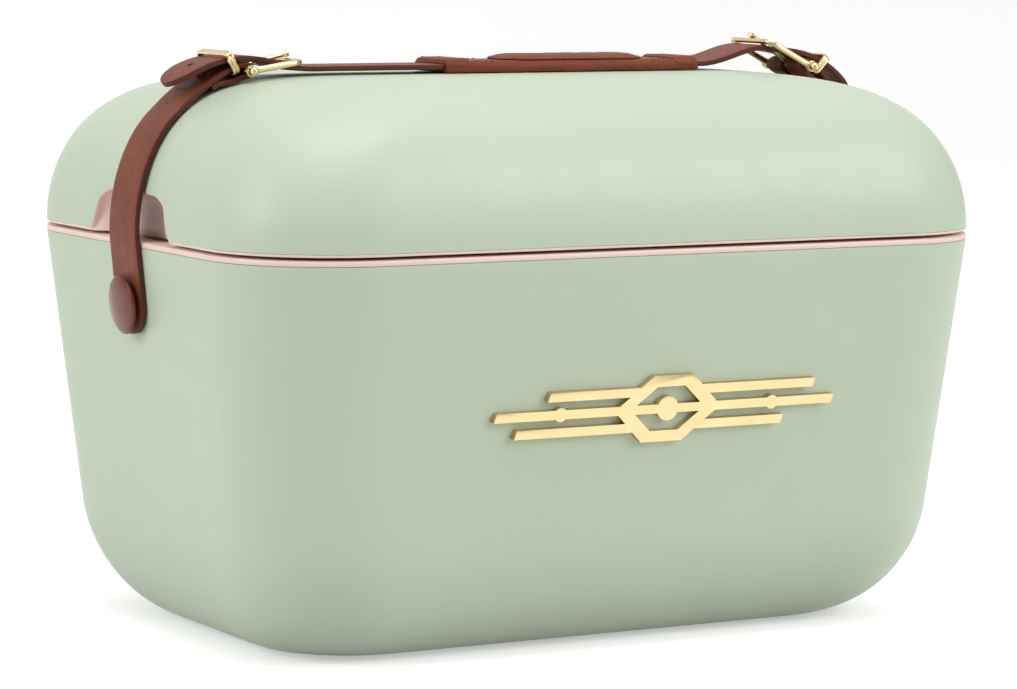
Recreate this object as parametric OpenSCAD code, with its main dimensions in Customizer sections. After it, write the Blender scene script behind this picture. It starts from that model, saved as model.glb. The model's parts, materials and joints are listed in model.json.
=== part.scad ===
// Portable insulated cooler box with a domed lift-off lid and a buckled leather carrying strap.
// Millimetres. X runs along the box, -Y is the front with the emblem, +Z is up, the origin is the middle of the base.

/* [Box] */
// half of the length at the rim
half_length = 218; // [200:235]
// half of the depth at the rim
half_depth = 156; // [140:170]
// corner radius at the rim, seen from above
corner_radius = 64; // [50:75]
// height of the body shell
body_height = 202; // [170:230]
// inward slope of the body walls, mm per mm of height
wall_draft = 0.105; // [0.05:0.005:0.13]
// how far the bottom rounding runs in at the ends
bottom_round_ends = 38; // [20:45]
// how far the bottom rounding runs in at the front and back
bottom_round_sides = 50; // [25:55]
// height of the bottom rounding
bottom_round_height = 60; // [40:70]
// wall thickness of the outer shells
shell_wall = 2.5; // [2:0.1:4]
// thickness of the insulated wall, outer face to inner face
wall_total = 24; // [18:32]

/* [Lid] */
// height of the dome above its lower edge
dome_height = 79; // [60:95]
// squareness of the dome's shoulder
dome_power = 5.5; // [4:0.5:8]
// height of the finger notch above the lid's lower edge
notch_height = 21; // [12:28]
// half of the notch's width at its flared foot
notch_half = 50; // [35:60]
// how deep the notch is set into the lid
notch_depth = 13; // [8:16]

/* [Strap] */
// width of the leather strap
strap_width = 32; // [26:35]
// thickness of the leather
strap_thick = 2.7; // [2:0.1:3.5]
// height of the strap's centre line over the middle of the lid
strap_level = 290.4; // [288:0.2:296]
// height of the button's axis
button_height = 173; // [160:178]
// radius of the button's cap
button_radius = 15; // [11:18]
// height of the crease above which the strap swings out
crease_height = 194; // [190:198]
// distance of the left buckle's hinge bar from the middle
left_bar_x = 160; // [150:170]
// distance of the right buckle's hinge bar from the middle
right_bar_x = 179; // [170:184]
// how far the right hinge bar lies below the level of the strap
right_drop = 1.9; // [0:0.1:4]
// extra slope of the right buckle, which reaches over the lid's shoulder, in degrees
right_turn = 18.4; // [0:0.2:24]
// left end of the grip
grip_left = -46; // [-60:-30]
// right end of the grip
grip_right = 108; // [90:110]

/* [Hidden] */

$fn = 48;
sage = [0.74, 0.81, 0.72];
blush = [0.86, 0.74, 0.69];
tan_leather = [0.50, 0.28, 0.20];
pale_brass = [0.84, 0.77, 0.58];
foam = [0.93, 0.90, 0.78];
gap = 0.2;
draft_angle = atan(wall_draft);
rim_top = body_height + 2.8;
flange_low = rim_top + 1.6;
lid_low = flange_low + 1.6;
mid_length = half_length - half_depth;
corner_steps = 10;

// ---------------------------------------------------------------- rings and lofts
// One closed ring of a rounded rectangle at height z.
function ring(a, b, r, z) = let(q = min(r, min(a, b) - 0.01)) [
  for (c = [[1, 1, 0], [-1, 1, 90], [-1, -1, 180], [1, -1, 270]])
    for (i = [0:corner_steps])
      let(w = c[2] + 90 * i / corner_steps)
      [c[0] * (a - q) + q * cos(w), c[1] * (b - q) + q * sin(w), z]];

// Solid between stacked rings. Capped ends unless the stack closes on itself.
module loft(rings, closed = false) {
  n = len(rings[0]);
  m = len(rings);
  pts = [for (r = rings) for (p = r) p];
  last = closed ? m - 1 : m - 2;
  walls = [for (k = [0:last]) for (i = [0:n - 1])
    let(j = (i + 1) % n, k2 = (k + 1) % m)
    each [[k * n + i, k2 * n + i, k2 * n + j], [k * n + i, k2 * n + j, k * n + j]]];
  caps = closed ? [] : [[for (i = [0:n - 1]) i], [for (i = [n - 1:-1:0]) (m - 1) * n + i]];
  polyhedron(points = pts, faces = concat(walls, caps), convexity = 6);
}

// Body section at height z: base inset t, extra rounding ea and eb.
function body_ring(t, z, ea = 0, eb = 0) =
  let(d = wall_draft * (body_height - z) + t)
  ring(half_length - d - ea, half_depth - d - eb, corner_radius - 0.3 * (d + ea) - 0.5 * t, z);

function body_wall(t, floor_z, rise, ra, rb, steps = 6) = [
  for (i = [0:steps]) let(w = 90 * i / steps)
    body_ring(t, floor_z + rise * (1 - cos(w)), ra * (1 - sin(w)), rb * (1 - sin(w)))];

function rev(v) = [for (i = [len(v) - 1:-1:0]) v[i]];

// ---------------------------------------------------------------- lid dome
// Share of the way from the middle (0) to the lower edge (1) for a rise angle.
function dome_u(w) = pow(cos(w), 2 / dome_power);
function dome_z(u) = lid_low + dome_height * sqrt(max(0, 1 - pow(u, dome_power)));
function dome_ring(w, t) =
  let(u = w > 89.9 ? 0.02 : dome_u(w))
  ring(mid_length + half_depth * u - t, max(half_depth * u - t, 2.5), min(corner_radius, half_depth * u) - t * 0.8,
    lid_low + dome_height * sin(w) - t * sin(w));
dome_angles = [0, 8, 16, 25, 34, 43, 52, 60, 67, 74, 80, 84, 87.5];
function dome_rings(t) = [for (w = dome_angles) dome_ring(w, t)];

// Outward direction of the dome in the plane of the strap.
function dome_normal(u) =
  let(v = [dome_height * dome_power * pow(u, dome_power - 1) / 2, half_depth * sqrt(max(0, 1 - pow(u, dome_power)))])
  v / norm(v);
function dome_point(u, off) =
  [mid_length + half_depth * u, dome_z(u)] + off * dome_normal(u);

module dome_solid(t) loft(dome_rings(t));

// ---------------------------------------------------------------- strap paths
function bez(a, b, c, d, s) =
  a * pow(1 - s, 3) + b * 3 * s * pow(1 - s, 2) + c * 3 * s * s * (1 - s) + d * s * s * s;
function unit(v) = v / norm(v);
function direction(p, i) = unit(p[min(i + 1, len(p) - 1)] - p[max(i - 1, 0)]);
function shifted(p, d) = [for (i = [0:len(p) - 1]) let(t = direction(p, i)) p[i] + d * [-t[1], t[0]]];

// Leather following a side-view path.
module strip(p, wide = strap_width, thick = strap_thick)
  rotate([90, 0, 0]) linear_extrude(height = wide, center = true)
    polygon(concat(shifted(p, thick / 2), rev(shifted(p, -thick / 2))));

function wall_x(z) = half_length - wall_draft * (body_height - z);
leather_stand = 0.5 + strap_thick / 2;
wrap = 1.7 + strap_thick / 2;
left_bar = [left_bar_x, strap_level - 0.5];
right_bar = [right_bar_x, strap_level - right_drop];
// A point given about a hinge bar, turned down by an angle.
function turned(v, a) = [v[0] * cos(a) + v[1] * sin(a), v[1] * cos(a) - v[0] * sin(a)];
frame_length = 30;
frame_tilt = 8.6;
rod = 1.7;
rail_y = strap_width / 2 + 2.8 + rod;

// Leg of the strap: up the end wall, over the shoulder to the top of the hinge bar.
leg_steps = 12;
function leg_main(bar, turn, leave, reach) =
  let(top = [for (z = [crease_height + 0.15, 198, 203.5]) [wall_x(z) + leather_stand, z]],
      over = [for (w = [4, 12, 20, 28, 36, 44, 52, 60, 68]) if (mid_length + half_depth * dome_u(w) > leave) dome_point(dome_u(w), strap_thick / 2 + 1.1)],
      s = over[len(over) - 1],
      e = unit(s - over[len(over) - 2]),
      up = bar + turned([0, wrap], turn))
  concat(top, over, [for (k = [1:leg_steps]) bez(s, s + e * reach, up + turned([reach * 0.7, -0.6], turn), up, k / leg_steps)]);

// Return of the fold under the leg. The layers stay apart for the keeper, then close up.
function smooth(s) = let(c = min(1, max(0, s))) c * c * (3 - 2 * c);
function fold_gap(f) = strap_thick + 0.25 + (2 * wrap - strap_thick - 0.25) * (1 - smooth((f - 0.5) / 0.4));
function leg_path(bar, turn, leave, reach, back) =
  let(m = leg_main(bar, turn, leave, reach), n = len(m))
  concat(m,
    [for (w = [112:22:268]) bar + turned(wrap * [cos(w), sin(w)], turn)],
    [for (k = [n - 2:-1:n - back]) shifted(m, fold_gap((n - 1 - k) / (back - 1)))[k]]);

module leg(bar, turn, leave, reach, back) {
  color(tan_leather) difference() {
    strip(leg_path(bar, turn, leave, reach, back));
    at_bar(bar, turn) translate([0.5, 0, 0]) cube([13, 5.4, 13], center = true);
    rivet_place(bar, turn, leave, reach, back) cylinder(r = 2.1, h = 18, center = true);
  }
}

module rivet_place(bar, turn, leave, reach, back) {
  m = leg_main(bar, turn, leave, reach);
  k = len(m) - back + 1;
  t = direction(m, k);
  translate([m[k][0], 0, m[k][1]]) rotate([0, -atan2(t[1], t[0]), 0]) children();
}

// Tubular rivet through both layers of the fold.
module fold_rivet(bar, turn, leave, reach, back) {
  sep = fold_gap((back - 2) / (back - 1));
  // the inner head leans with the layer it closes on
  lean = 11;
  color(tan_leather) rivet_place(bar, turn, leave, reach, back) {
    translate([0, 0, -strap_thick / 2 - 1]) cylinder(r = 2, h = sep + strap_thick + 2);
    translate([0, 0, -strap_thick / 2 - 1.3]) cylinder(r = 2.8, h = 0.75);
    translate([0, 0, sep + strap_thick / 2 + 0.85]) rotate([0, -lean, 0]) cylinder(r = 2.8, h = 0.6);
  }
}

// Tongue from where it meets the free bar out to its tip.
function tongue(bar, turn) = [for (q = concat(
  [for (k = [0:6]) bez([-30, 0.9], [-22, 1.7], [-12, 6.1], [0, 6.2], k / 6)],
  [for (k = [1:7]) bez([0, 6.2], [12, 6.25], [24, 3.6], [38, -6], k / 7)])) bar + turned(q, turn)];
function mirrored(p) = [for (q = rev(p)) [-q[0], q[1]]];
right_under = right_bar + turned([-30, 0.9], right_turn);
handle_path = concat(
  mirrored(concat([for (k = [0:3]) bez([left_bar_x - 48, strap_level], [left_bar_x - 42, strap_level], left_bar + [-36, 0.2], left_bar + [-30, 0.9], k / 4)], tongue(left_bar, 0))),
  [for (x = [-60, 0, 60]) [x, strap_level]],
  [for (k = [0:5]) bez([grip_right + 2, strap_level], [grip_right + 18, strap_level], right_under + [-12, -0.4], right_under, k / 6)],
  tongue(right_bar, right_turn));

module handle_strap() {
  reach_l = left_bar_x + 37;
  reach_r = right_bar_x + 33;
  half = strap_width / 2;
  color(tan_leather) difference() {
    intersection() {
      strip(handle_path);
      translate([0, 0, strap_level - 30]) linear_extrude(height = 60) union() {
        translate([-reach_l + half, -half]) square([reach_l + reach_r - 2 * half, strap_width]);
        for (x = [-reach_l + half, reach_r - half]) translate([x, 0]) circle(r = half);
      }
    }
    mx(-1) at_bar(left_bar, 0) tongue_holes();
    at_bar(right_bar, right_turn) tongue_holes();
  }
}

// Long hole that leaves room for the prong, and a round hole on each side of it.
module tongue_holes() {
  translate([0, 0, -8]) linear_extrude(height = 30) union() {
    translate([-20.6, -2.3]) square([19, 4.6]);
    translate([-1.6, 0]) circle(r = 2.3);
    translate([-20.6, 0]) circle(r = 2.3);
  }
  translate([24, 0, -8]) cylinder(r = 1.7, h = 20);
}

// Everything below is drawn for the right buckle about its hinge bar, toward the middle is -X.
module at_bar(bar, turn) translate([bar[0], 0, bar[1]]) rotate([0, turn, 0]) children();

module frame() color(pale_brass) rotate([0, frame_tilt, 0]) difference() {
  union() {
    for (s = [-1, 1]) {
      translate([0, s * rail_y, 0]) rotate([0, -90, 0]) cylinder(r = rod, h = frame_length - 6);
      translate([0, s * rail_y, 0]) rotate([90, 0, 0]) cylinder(r = 3, h = 2 * rod, center = true);
      translate([-frame_length + 6, s * (rail_y - 6), 0]) rotate([0, 0, s > 0 ? 90 : 180])
        rotate_extrude(angle = 90) translate([6, 0]) circle(r = rod);
    }
    translate([-frame_length, 0, 0]) rotate([90, 0, 0]) cylinder(r = rod, h = 2 * (rail_y - 6), center = true);
  }
  rotate([90, 0, 0]) cylinder(r = 1.65, h = 60, center = true);
}

module hinge_bar() color(pale_brass) {
  rotate([90, 0, 0]) cylinder(r = 1.6, h = 2 * rail_y + 5.4, center = true);
  for (s = [-1, 1]) translate([0, s * (rail_y + 3.9), 0]) sphere(r = 2.3);
}

prong_angle = 14.6;
module prong() color(pale_brass) difference() {
  union() {
    rotate([90, 0, 0]) cylinder(r = 2.9, h = 4, center = true);
    rotate([0, prong_angle, 0]) {
      rotate([0, -90, 0]) cylinder(r = 1.35, h = frame_length + 3.4);
      translate([-frame_length - 3.4, 0, 0]) sphere(r = 1.35);
    }
  }
  rotate([90, 0, 0]) cylinder(r = 1.65, h = 10, center = true);
}

// Loop that keeps the tongue on the leg. Its lower side lies inside the leg's fold.
module keeper() color(pale_brass)
  translate([7.5, 0, 2]) rotate([0, 26, 0]) translate([-2.6, 0, 0]) rotate([90, 0, 90]) linear_extrude(height = 5.2) difference() {
    keeper_face(1.6);
    keeper_face(0);
  }
module keeper_face(grow) {
  w = strap_width / 2 + 0.7 + grow;
  lo = -3.0 - grow;
  hi = 7.0 + grow;
  r = 1.2 + grow;
  union() {
    translate([-w + r, lo]) square([2 * (w - r), hi - lo]);
    translate([-w, lo + r]) square([2 * w, hi - lo - 2 * r]);
    for (y = [-w + r, w - r]) for (z = [lo + r, hi - r]) translate([y, z]) circle(r = r);
  }
}

// ---------------------------------------------------------------- end fittings
// Axis of the button on the right end wall, +Z points outward.
module on_end_wall() translate([wall_x(button_height), 0, button_height]) rotate([0, 90 + draft_angle, 0]) children();

module button() color(tan_leather) on_end_wall() {
  translate([0, 0, -11]) cylinder(r = 3, h = 14.4);
  translate([0, 0, 3.35]) cylinder(r = 8, h = 2.3);
  difference() {
    translate([0, 0, 5.6]) cylinder(r = button_radius, h = 3.6);
    translate([0, 0, 5.6]) dome_trim();
  }
}
module dome_trim() rotate_extrude() polygon(concat(
  [for (k = [0:10]) let(x = button_radius * k / 10) [x, 3.55 - 1.9 * pow(k / 10, 2.6)]], [[button_radius + 3, 1.4], [button_radius + 3, 6], [0, 6]]));

module anchor_nut() color(pale_brass) on_end_wall() difference() {
  union() {
    translate([0, 0, -5]) cylinder(r = 8.5, h = 2.2);
    translate([0, 0, -13]) cylinder(r = 6, h = 8.2);
  }
  translate([0, 0, -11.5]) cylinder(r = 3.06, h = 12);
}

module strap_end() {
  half = strap_width / 2;
  low = button_height - 15.5;
  color(tan_leather) difference() {
    intersection() {
      strip([for (z = [low, button_height, crease_height - 0.15]) [wall_x(z) + leather_stand, z]]);
      translate([150, 0, 0]) rotate([90, 0, 90]) linear_extrude(height = 90) union() {
        translate([-half, low + half]) square([strap_width, 60]);
        translate([0, low + half]) circle(r = half);
      }
    }
    on_end_wall() cylinder(r = 3.06, h = 20, center = true);
  }
}

// ---------------------------------------------------------------- body
module body_shell() color(sage) difference() {
  loft(concat(
    body_wall(0, 0, bottom_round_height, bottom_round_ends, bottom_round_sides),
    [body_ring(0, 120), body_ring(0, body_height)],
    [body_ring(shell_wall, body_height)],
    rev(body_wall(shell_wall, 3, bottom_round_height - 3, bottom_round_ends, bottom_round_sides))));
  translate([0, 0, -1]) cylinder(r = 10, h = 6);
  for (s = [0, 1]) mirror([s, 0, 0]) on_end_wall() cylinder(r = 3.1, h = 12, center = true);
  for (s = [-1, 1]) on_front() translate([s * 62, 0, 0]) cylinder(r = 1.6, h = 12, center = true);
}

module body_insulation() color(foam) difference() {
  loft(concat(
    body_wall(shell_wall + gap, 3.2, bottom_round_height - 3.2, bottom_round_ends, bottom_round_sides),
    [body_ring(shell_wall + gap, 120), body_ring(shell_wall + gap, body_height - 0.2)],
    [body_ring(wall_total - 2 - gap, body_height - 0.2)],
    rev(body_wall(wall_total - 2 - gap, 25.8, bottom_round_height - 12, bottom_round_ends - 8, bottom_round_sides - 8))));
  for (s = [0, 1]) mirror([s, 0, 0]) on_end_wall() translate([0, 0, -15]) cylinder(r = 9.5, h = 14);
  for (s = [-1, 1]) on_front() translate([s * 62, 0, -9]) cylinder(r = 6, h = 9);
}

module body_liner() color(blush)
  loft(concat(
    body_wall(wall_total, 28, bottom_round_height - 12, bottom_round_ends - 8, bottom_round_sides - 8),
    [body_ring(wall_total, 120), body_ring(wall_total, rim_top)],
    [ring(half_length - 0.7, half_depth - 0.7, corner_radius - 0.7, rim_top),
     ring(half_length, half_depth, corner_radius, rim_top - 0.7),
     ring(half_length, half_depth, corner_radius, body_height + 0.1),
     body_ring(wall_total - 2, body_height + 0.1),
     body_ring(wall_total - 2, 120)],
    rev(body_wall(wall_total - 2, 26, bottom_round_height - 12, bottom_round_ends - 8, bottom_round_sides - 8))));

module body_fill_plug() color(sage) translate([0, 0, 0.6]) cylinder(r = 9.94, h = 2.3);

// ---------------------------------------------------------------- emblem
emblem_z = 125;
emblem_x = 8;
module on_front()
  translate([emblem_x, -(half_depth - wall_draft * (body_height - emblem_z)), emblem_z]) rotate([90 + draft_angle, 0, 0]) children();

rake = 0.34;
module raked_bar(x0, x1, y, tall)
  polygon([[x0 + rake * (y - tall / 2), y - tall / 2], [x1 + rake * (y - tall / 2), y - tall / 2],
    [x1 + rake * (y + tall / 2), y + tall / 2], [x0 + rake * (y + tall / 2), y + tall / 2]]);

// Raked lozenge with speed lines on both sides.
module emblem_face() {
  union() {
    for (s = [0, 180]) rotate(s) {
      raked_bar(12, 99, 0, 4.6);
      raked_bar(12, 84, 9, 4.6);
      raked_bar(12, 72, -9, 4.6);
    }
    difference() {
      polygon([[-31, 0], [-9, 16.8], [14.5, 16.8], [31, 0], [9, -16.8], [-14.5, -16.8]]);
      polygon([[-21.5, 0], [-6.6, 11.2], [9.7, 11.2], [21.5, 0], [6.6, -11.2], [-9.7, -11.2]]);
    }
    raked_bar(-24, 24, 0, 4.6);
    circle(r = 6.2);
    for (s = [-1, 1]) translate([s * 62, 0]) circle(r = 3.6);
  }
}
module emblem() color(pale_brass) on_front() {
  translate([0, 0, 0.15]) linear_extrude(height = 3.85) emblem_face();
  for (s = [-1, 1]) translate([s * 62, 0, -6]) cylinder(r = 1.5, h = 7);
}
module emblem_clip(s) color(pale_brass) on_front() translate([s * 62, 0, -3.9]) difference() {
  cylinder(r = 4.5, h = 1);
  translate([0, 0, -1]) cylinder(r = 1.55, h = 3);
}

// ---------------------------------------------------------------- lid
// Side view of the finger notch, grown outward by g.
// It flares at the foot, rises steeply and rounds over into the top.
function notch_shape(s) = let(c = min(1, max(0, s))) smooth((c - 0.08) / 0.38) * (1 - 0.6 * pow(1 - c, 1.6));
function notch_edge(g) = [for (k = [-24:24])
  let(y = (notch_half + g) * k / 24) [y, lid_low - 0.01 + (notch_height + g) * notch_shape((notch_half + g - abs(y)) / 26)]];
module notch_bar(g, x0, x1) rotate([90, 0, 90]) translate([0, 0, x0]) linear_extrude(height = x1 - x0)
  polygon(concat([[notch_half + g, lid_low - 12], [-notch_half - g, lid_low - 12]], notch_edge(g)));
notch_face = half_length - notch_depth;

module both_ends() { children(); mirror([1, 0, 0]) children(); }

module lid_shell() color(sage) difference() {
  loft(concat(rev(dome_rings(shell_wall)), dome_rings(0)));
  both_ends() notch_bar(2.1, notch_face - 3, half_length + 20);
}

lid_wall = [for (q = [[26.5, 0.4], [28, 12], [30.5, 26], [35, 37], [43, 46], [55, 52.5], [72, 56]]) q];
function lid_inner(t, up) = [for (q = lid_wall)
  ring(half_length - q[0] - t, half_depth - q[0] - t, max(corner_radius - q[0] - t, 24), lid_low + q[1] + up)];

module lid_insulation() color(foam) difference() {
  loft(concat(rev(lid_inner(-2.2, 2.2)), [lid_ring(24.1, lid_low + 0.2), lid_ring(shell_wall + gap + 0.4, lid_low + 0.2)],
    [for (w = dome_angles) if (w > 0) dome_ring(w, shell_wall + gap)]));
  both_ends() notch_bar(2.4, notch_face - 3.2, half_length + 20);
}
function lid_ring(d, z) = ring(half_length - d, half_depth - d, corner_radius - d * 0.8, z);

module lid_liner() color(blush)
    loft(concat(rev(lid_inner(0, 0)),
      [lid_ring(26.5, rim_top - 5), lid_ring(25.3, rim_top - 5.8), lid_ring(25.3, lid_low - 0.1), lid_ring(24.3, lid_low + 0.4)],
      lid_inner(-2, 2)));

// Flange ring that closes the lid's wall from below, open at the finger notches.
module lid_flange() color(blush) difference() {
  loft([lid_ring(25, flange_low), lid_ring(0.6, flange_low), lid_ring(0, flange_low + 0.6),
    lid_ring(0, lid_low - 0.1), lid_ring(25, lid_low - 0.1)], closed = true);
  both_ends() notch_bar(0, notch_face, half_length + 20);
}

// Lining of the finger notch.
module finger_cup() color(blush) difference() {
  intersection() {
    dome_solid(0.25);
    notch_bar(1.9, notch_face - 1.8, half_length + 20);
  }
  notch_bar(0, notch_face, half_length + 30);
  translate([0, 0, lid_low - 30]) cube([600, 600, 60], center = true);
}

module lid_seal() color([0.80, 0.78, 0.74])
  loft([lid_ring(15, rim_top + 0.15), lid_ring(15, flange_low - 0.05), lid_ring(19.5, flange_low - 0.05), lid_ring(19.5, rim_top + 0.15)], closed = true);

module lid_fill_plug() color(blush) translate([0, 0, lid_low + 54.4]) cylinder(r = 8, h = 1.4);

// ---------------------------------------------------------------- grip
module grip_plan(x0, x1, half, r) union() {
  translate([x0 + r, -half]) square([x1 - x0 - 2 * r, 2 * half]);
  translate([x0, -half + r]) square([x1 - x0, 2 * half - 2 * r]);
  for (x = [x0 + r, x1 - r]) for (y = [-half + r, half - r]) translate([x, y]) circle(r = r);
}
grip_low = strap_level - strap_thick / 2 - 0.3 - 1.2;
grip_mid = strap_level + strap_thick / 2 + 0.3 + 1.4;
module grip_sleeve() color(tan_leather) difference() {
  union() {
    translate([0, 0, grip_low]) linear_extrude(height = grip_mid - grip_low) grip_plan(grip_left, grip_right, 18.5, 4);
    for (x = [grip_left, grip_right - 15]) translate([0, 0, grip_mid - 1]) linear_extrude(height = 2.4) grip_plan(x + 0.6, x + 14.4, 17.6, 3);
  }
  translate([0, 0, strap_level]) cube([600, strap_width + 1, strap_thick + 0.6], center = true);
}
module grip_core() color(foam) translate([0, 0, grip_mid + 0.1]) linear_extrude(height = 1.7) grip_plan(grip_left + 44, grip_right - 36, 12, 9);
module grip_cover() color(tan_leather) difference() {
  translate([0, 0, grip_mid + 0.1]) linear_extrude(height = 3) grip_plan(grip_left + 38, grip_right - 30, 16.5, 12);
  translate([0, 0, grip_mid - 1]) linear_extrude(height = 2.9) grip_plan(grip_left + 43.8, grip_right - 35.8, 12.2, 9.2);
}

// ---------------------------------------------------------------- nodes
left_leg = [left_bar, 0, 186, 13, 8];
right_leg = [right_bar, right_turn, 208, 20, 8];
module mx(s) rotate([0, 0, s < 0 ? 180 : 0]) children();

body_shell();
body_insulation();
body_liner();
body_fill_plug();
emblem();
emblem_clip(-1);  // emblem_clip_left
emblem_clip(1);  // emblem_clip_right
mx(-1) button();  // button_left
mx(1) button();  // button_right
mx(-1) anchor_nut();  // anchor_nut_left
mx(1) anchor_nut();  // anchor_nut_right
mx(-1) strap_end();  // strap_end_left
mx(1) strap_end();  // strap_end_right
lid_shell();
lid_insulation();
lid_liner();
lid_flange();
lid_seal();
lid_fill_plug();
mx(-1) leg(left_leg[0], left_leg[1], left_leg[2], left_leg[3], left_leg[4]);  // leg_left
mx(1) leg(right_leg[0], right_leg[1], right_leg[2], right_leg[3], right_leg[4]);  // leg_right
mx(-1) at_bar(left_bar, 0) frame();  // frame_left
mx(1) at_bar(right_bar, right_turn) frame();  // frame_right
mx(-1) at_bar(left_bar, 0) hinge_bar();  // hinge_bar_left
mx(1) at_bar(right_bar, right_turn) hinge_bar();  // hinge_bar_right
mx(-1) at_bar(left_bar, 0) prong();  // prong_left
mx(1) at_bar(right_bar, right_turn) prong();  // prong_right
mx(-1) at_bar(left_bar, 0) keeper();  // keeper_left
mx(1) at_bar(right_bar, right_turn) keeper();  // keeper_right
mx(-1) fold_rivet(left_leg[0], left_leg[1], left_leg[2], left_leg[3], left_leg[4]);  // fold_rivet_left
mx(1) fold_rivet(right_leg[0], right_leg[1], right_leg[2], right_leg[3], right_leg[4]);  // fold_rivet_right
handle_strap();
grip_sleeve();
grip_core();
grip_cover();
mx(-1) finger_cup();  // finger_cup_left
mx(1) finger_cup();  // finger_cup_right
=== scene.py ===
"""Looks of the portable insulated cooler box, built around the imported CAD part.

Lengths are millimetres up to make(), which turns them into metres. Floor, lights and camera are in metres.
"""
import json
import math

import bmesh
import bpy
import numpy as np
from mathutils import Matrix, Vector


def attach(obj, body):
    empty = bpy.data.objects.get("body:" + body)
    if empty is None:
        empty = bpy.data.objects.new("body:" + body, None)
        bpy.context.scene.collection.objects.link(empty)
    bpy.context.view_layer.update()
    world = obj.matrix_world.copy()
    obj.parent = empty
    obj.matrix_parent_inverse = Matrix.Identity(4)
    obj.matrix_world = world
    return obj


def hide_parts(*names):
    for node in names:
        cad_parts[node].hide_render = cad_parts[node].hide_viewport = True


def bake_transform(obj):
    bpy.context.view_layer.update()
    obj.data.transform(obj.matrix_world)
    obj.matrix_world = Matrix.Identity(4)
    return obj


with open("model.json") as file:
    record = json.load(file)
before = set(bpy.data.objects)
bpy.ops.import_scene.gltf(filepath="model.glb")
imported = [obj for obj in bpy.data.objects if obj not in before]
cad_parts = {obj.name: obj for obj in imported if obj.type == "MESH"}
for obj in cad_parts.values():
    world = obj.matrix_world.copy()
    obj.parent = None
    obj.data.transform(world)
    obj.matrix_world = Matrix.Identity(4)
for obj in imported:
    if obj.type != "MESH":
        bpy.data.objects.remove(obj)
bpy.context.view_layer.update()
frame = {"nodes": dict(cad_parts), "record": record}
scene = bpy.context.scene
MM = 0.001
rad = math.radians

# ------------------------------------------------------------------ main sizes, the same as the CAD part
# body at its rim: half length, half depth, corner radius, height, and how far the walls lean in per mm
A, B, CORNER, BODY_H, DRAFT = 218.0, 156.0, 64.0, 202.0, 0.105
# bottom rounding along X, along Y and up, then the shell and the whole wall
ROUND_X, ROUND_Y, ROUND_H, SHELL, WALL = 38.0, 50.0, 60.0, 2.5, 24.0
# height of the inner floor, and radius of the filling hole in the base
FLOOR_Z, FILL_R = 28.0, 10.0
# heights of the rim, of the lid's flange and of the lid's shell
RIM_TOP = BODY_H + 2.8
FLANGE = RIM_TOP + 1.6
LID = FLANGE + 1.6
# dome of the lid: height, power of its outline, and the straight part of its half length
DOME_H, DOME_P, MID = 79.0, 5.5, A - B
# finger notches: height, half width and depth
NOTCH_H, NOTCH_W, NOTCH_D = 21.0, 50.0, 13.0
# strap: width, thickness, height over the lid, and the heights of the button and the crease
STRAP_W, STRAP_T, LEVEL, BUTTON_Z, CREASE = 32.0, 2.7, 290.4, 173.0, 194.0
# grip: its two ends along X and its half width
GRIP0, GRIP1, GRIP_W = -46.0, 108.0, 18.5
# buckle: hinge bar, inside of the fold round it, place of the side rails, length and tilt of the frame
BAR_R, FOLD_R, RAIL, FRAME_L, FRAME_TILT = 1.6, 1.7, STRAP_W / 2 + 4.5, 30.0, 8.6
# middle of the leather from the wall, and from the hinge bar's axis
STAND, WRAP = 0.5 + STRAP_T / 2, FOLD_R + STRAP_T / 2
# emblem: place on the front, lowest and highest face, and distance of its pins from the middle
EMBLEM_X, EMBLEM_Z, EMBLEM_LOW, EMBLEM_TOP, PIN_X = 8, 125, 0.15, 4.0, 62
# each side's hinge bar at (x, z), its turn, where the leg leaves the dome, and the reach of its bend
BARS = {
    "left": ((160.0, LEVEL - 0.5), 0.0, 186.0, 13.0),
    "right": ((179.0, LEVEL - 1.9), 18.4, 208.0, 20.0),
}


# ------------------------------------------------------------------ small maths
def smooth(s):
    c = np.clip(s, 0, 1)
    return c * c * (3 - 2 * c)


def unit(v):
    v = np.asarray(v, float)
    return v / max(1e-12, np.linalg.norm(v))


def bez(a, b, c, d, n, first=0):
    s = (np.arange(first, n + 1) / n)[:, None]
    a, b, c, d = (np.asarray(p, float) for p in (a, b, c, d))
    return a * (1 - s) ** 3 + 3 * b * s * (1 - s) ** 2 + 3 * c * s * s * (1 - s) + d * s**3


def turned(v, deg):
    v = np.asarray(v, float)
    c, s = math.cos(rad(deg)), math.sin(rad(deg))
    return np.stack([v[..., 0] * c + v[..., 1] * s, v[..., 1] * c - v[..., 0] * s], -1)


def directions(p):
    t = np.gradient(np.asarray(p, float), axis=0)
    return t / np.maximum(1e-12, np.linalg.norm(t, axis=1))[:, None]


def lengths(p):
    return np.concatenate([[0], np.cumsum(np.linalg.norm(np.diff(p, axis=0), axis=1))])


def at_lengths(t, s, p):
    """The points at distances t along p, where s is the distance of each point of p."""
    return np.stack([np.interp(t, s, p[:, k]) for k in range(p.shape[1])], 1)


def resample(p, step):
    """Even points on a smooth curve through the points p."""
    p = np.asarray(p, float)
    ext = np.vstack([2 * p[0] - p[1], p, 2 * p[-1] - p[-2]])
    out = []
    for i in range(1, len(ext) - 2):
        p0, p1, p2, p3 = ext[i - 1 : i + 3]
        square, cube = 2 * p0 - 5 * p1 + 4 * p2 - p3, 3 * p1 - p0 - 3 * p2 + p3
        out += [0.5 * (2 * p1 + (p2 - p0) * s + square * s**2 + cube * s**3) for s in np.arange(0, 1, 0.1)]
    out = np.array(out + [p[-1]])
    s = lengths(out)
    return at_lengths(np.linspace(0, s[-1], max(3, int(round(s[-1] / step)) + 1)), s, out)


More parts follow.
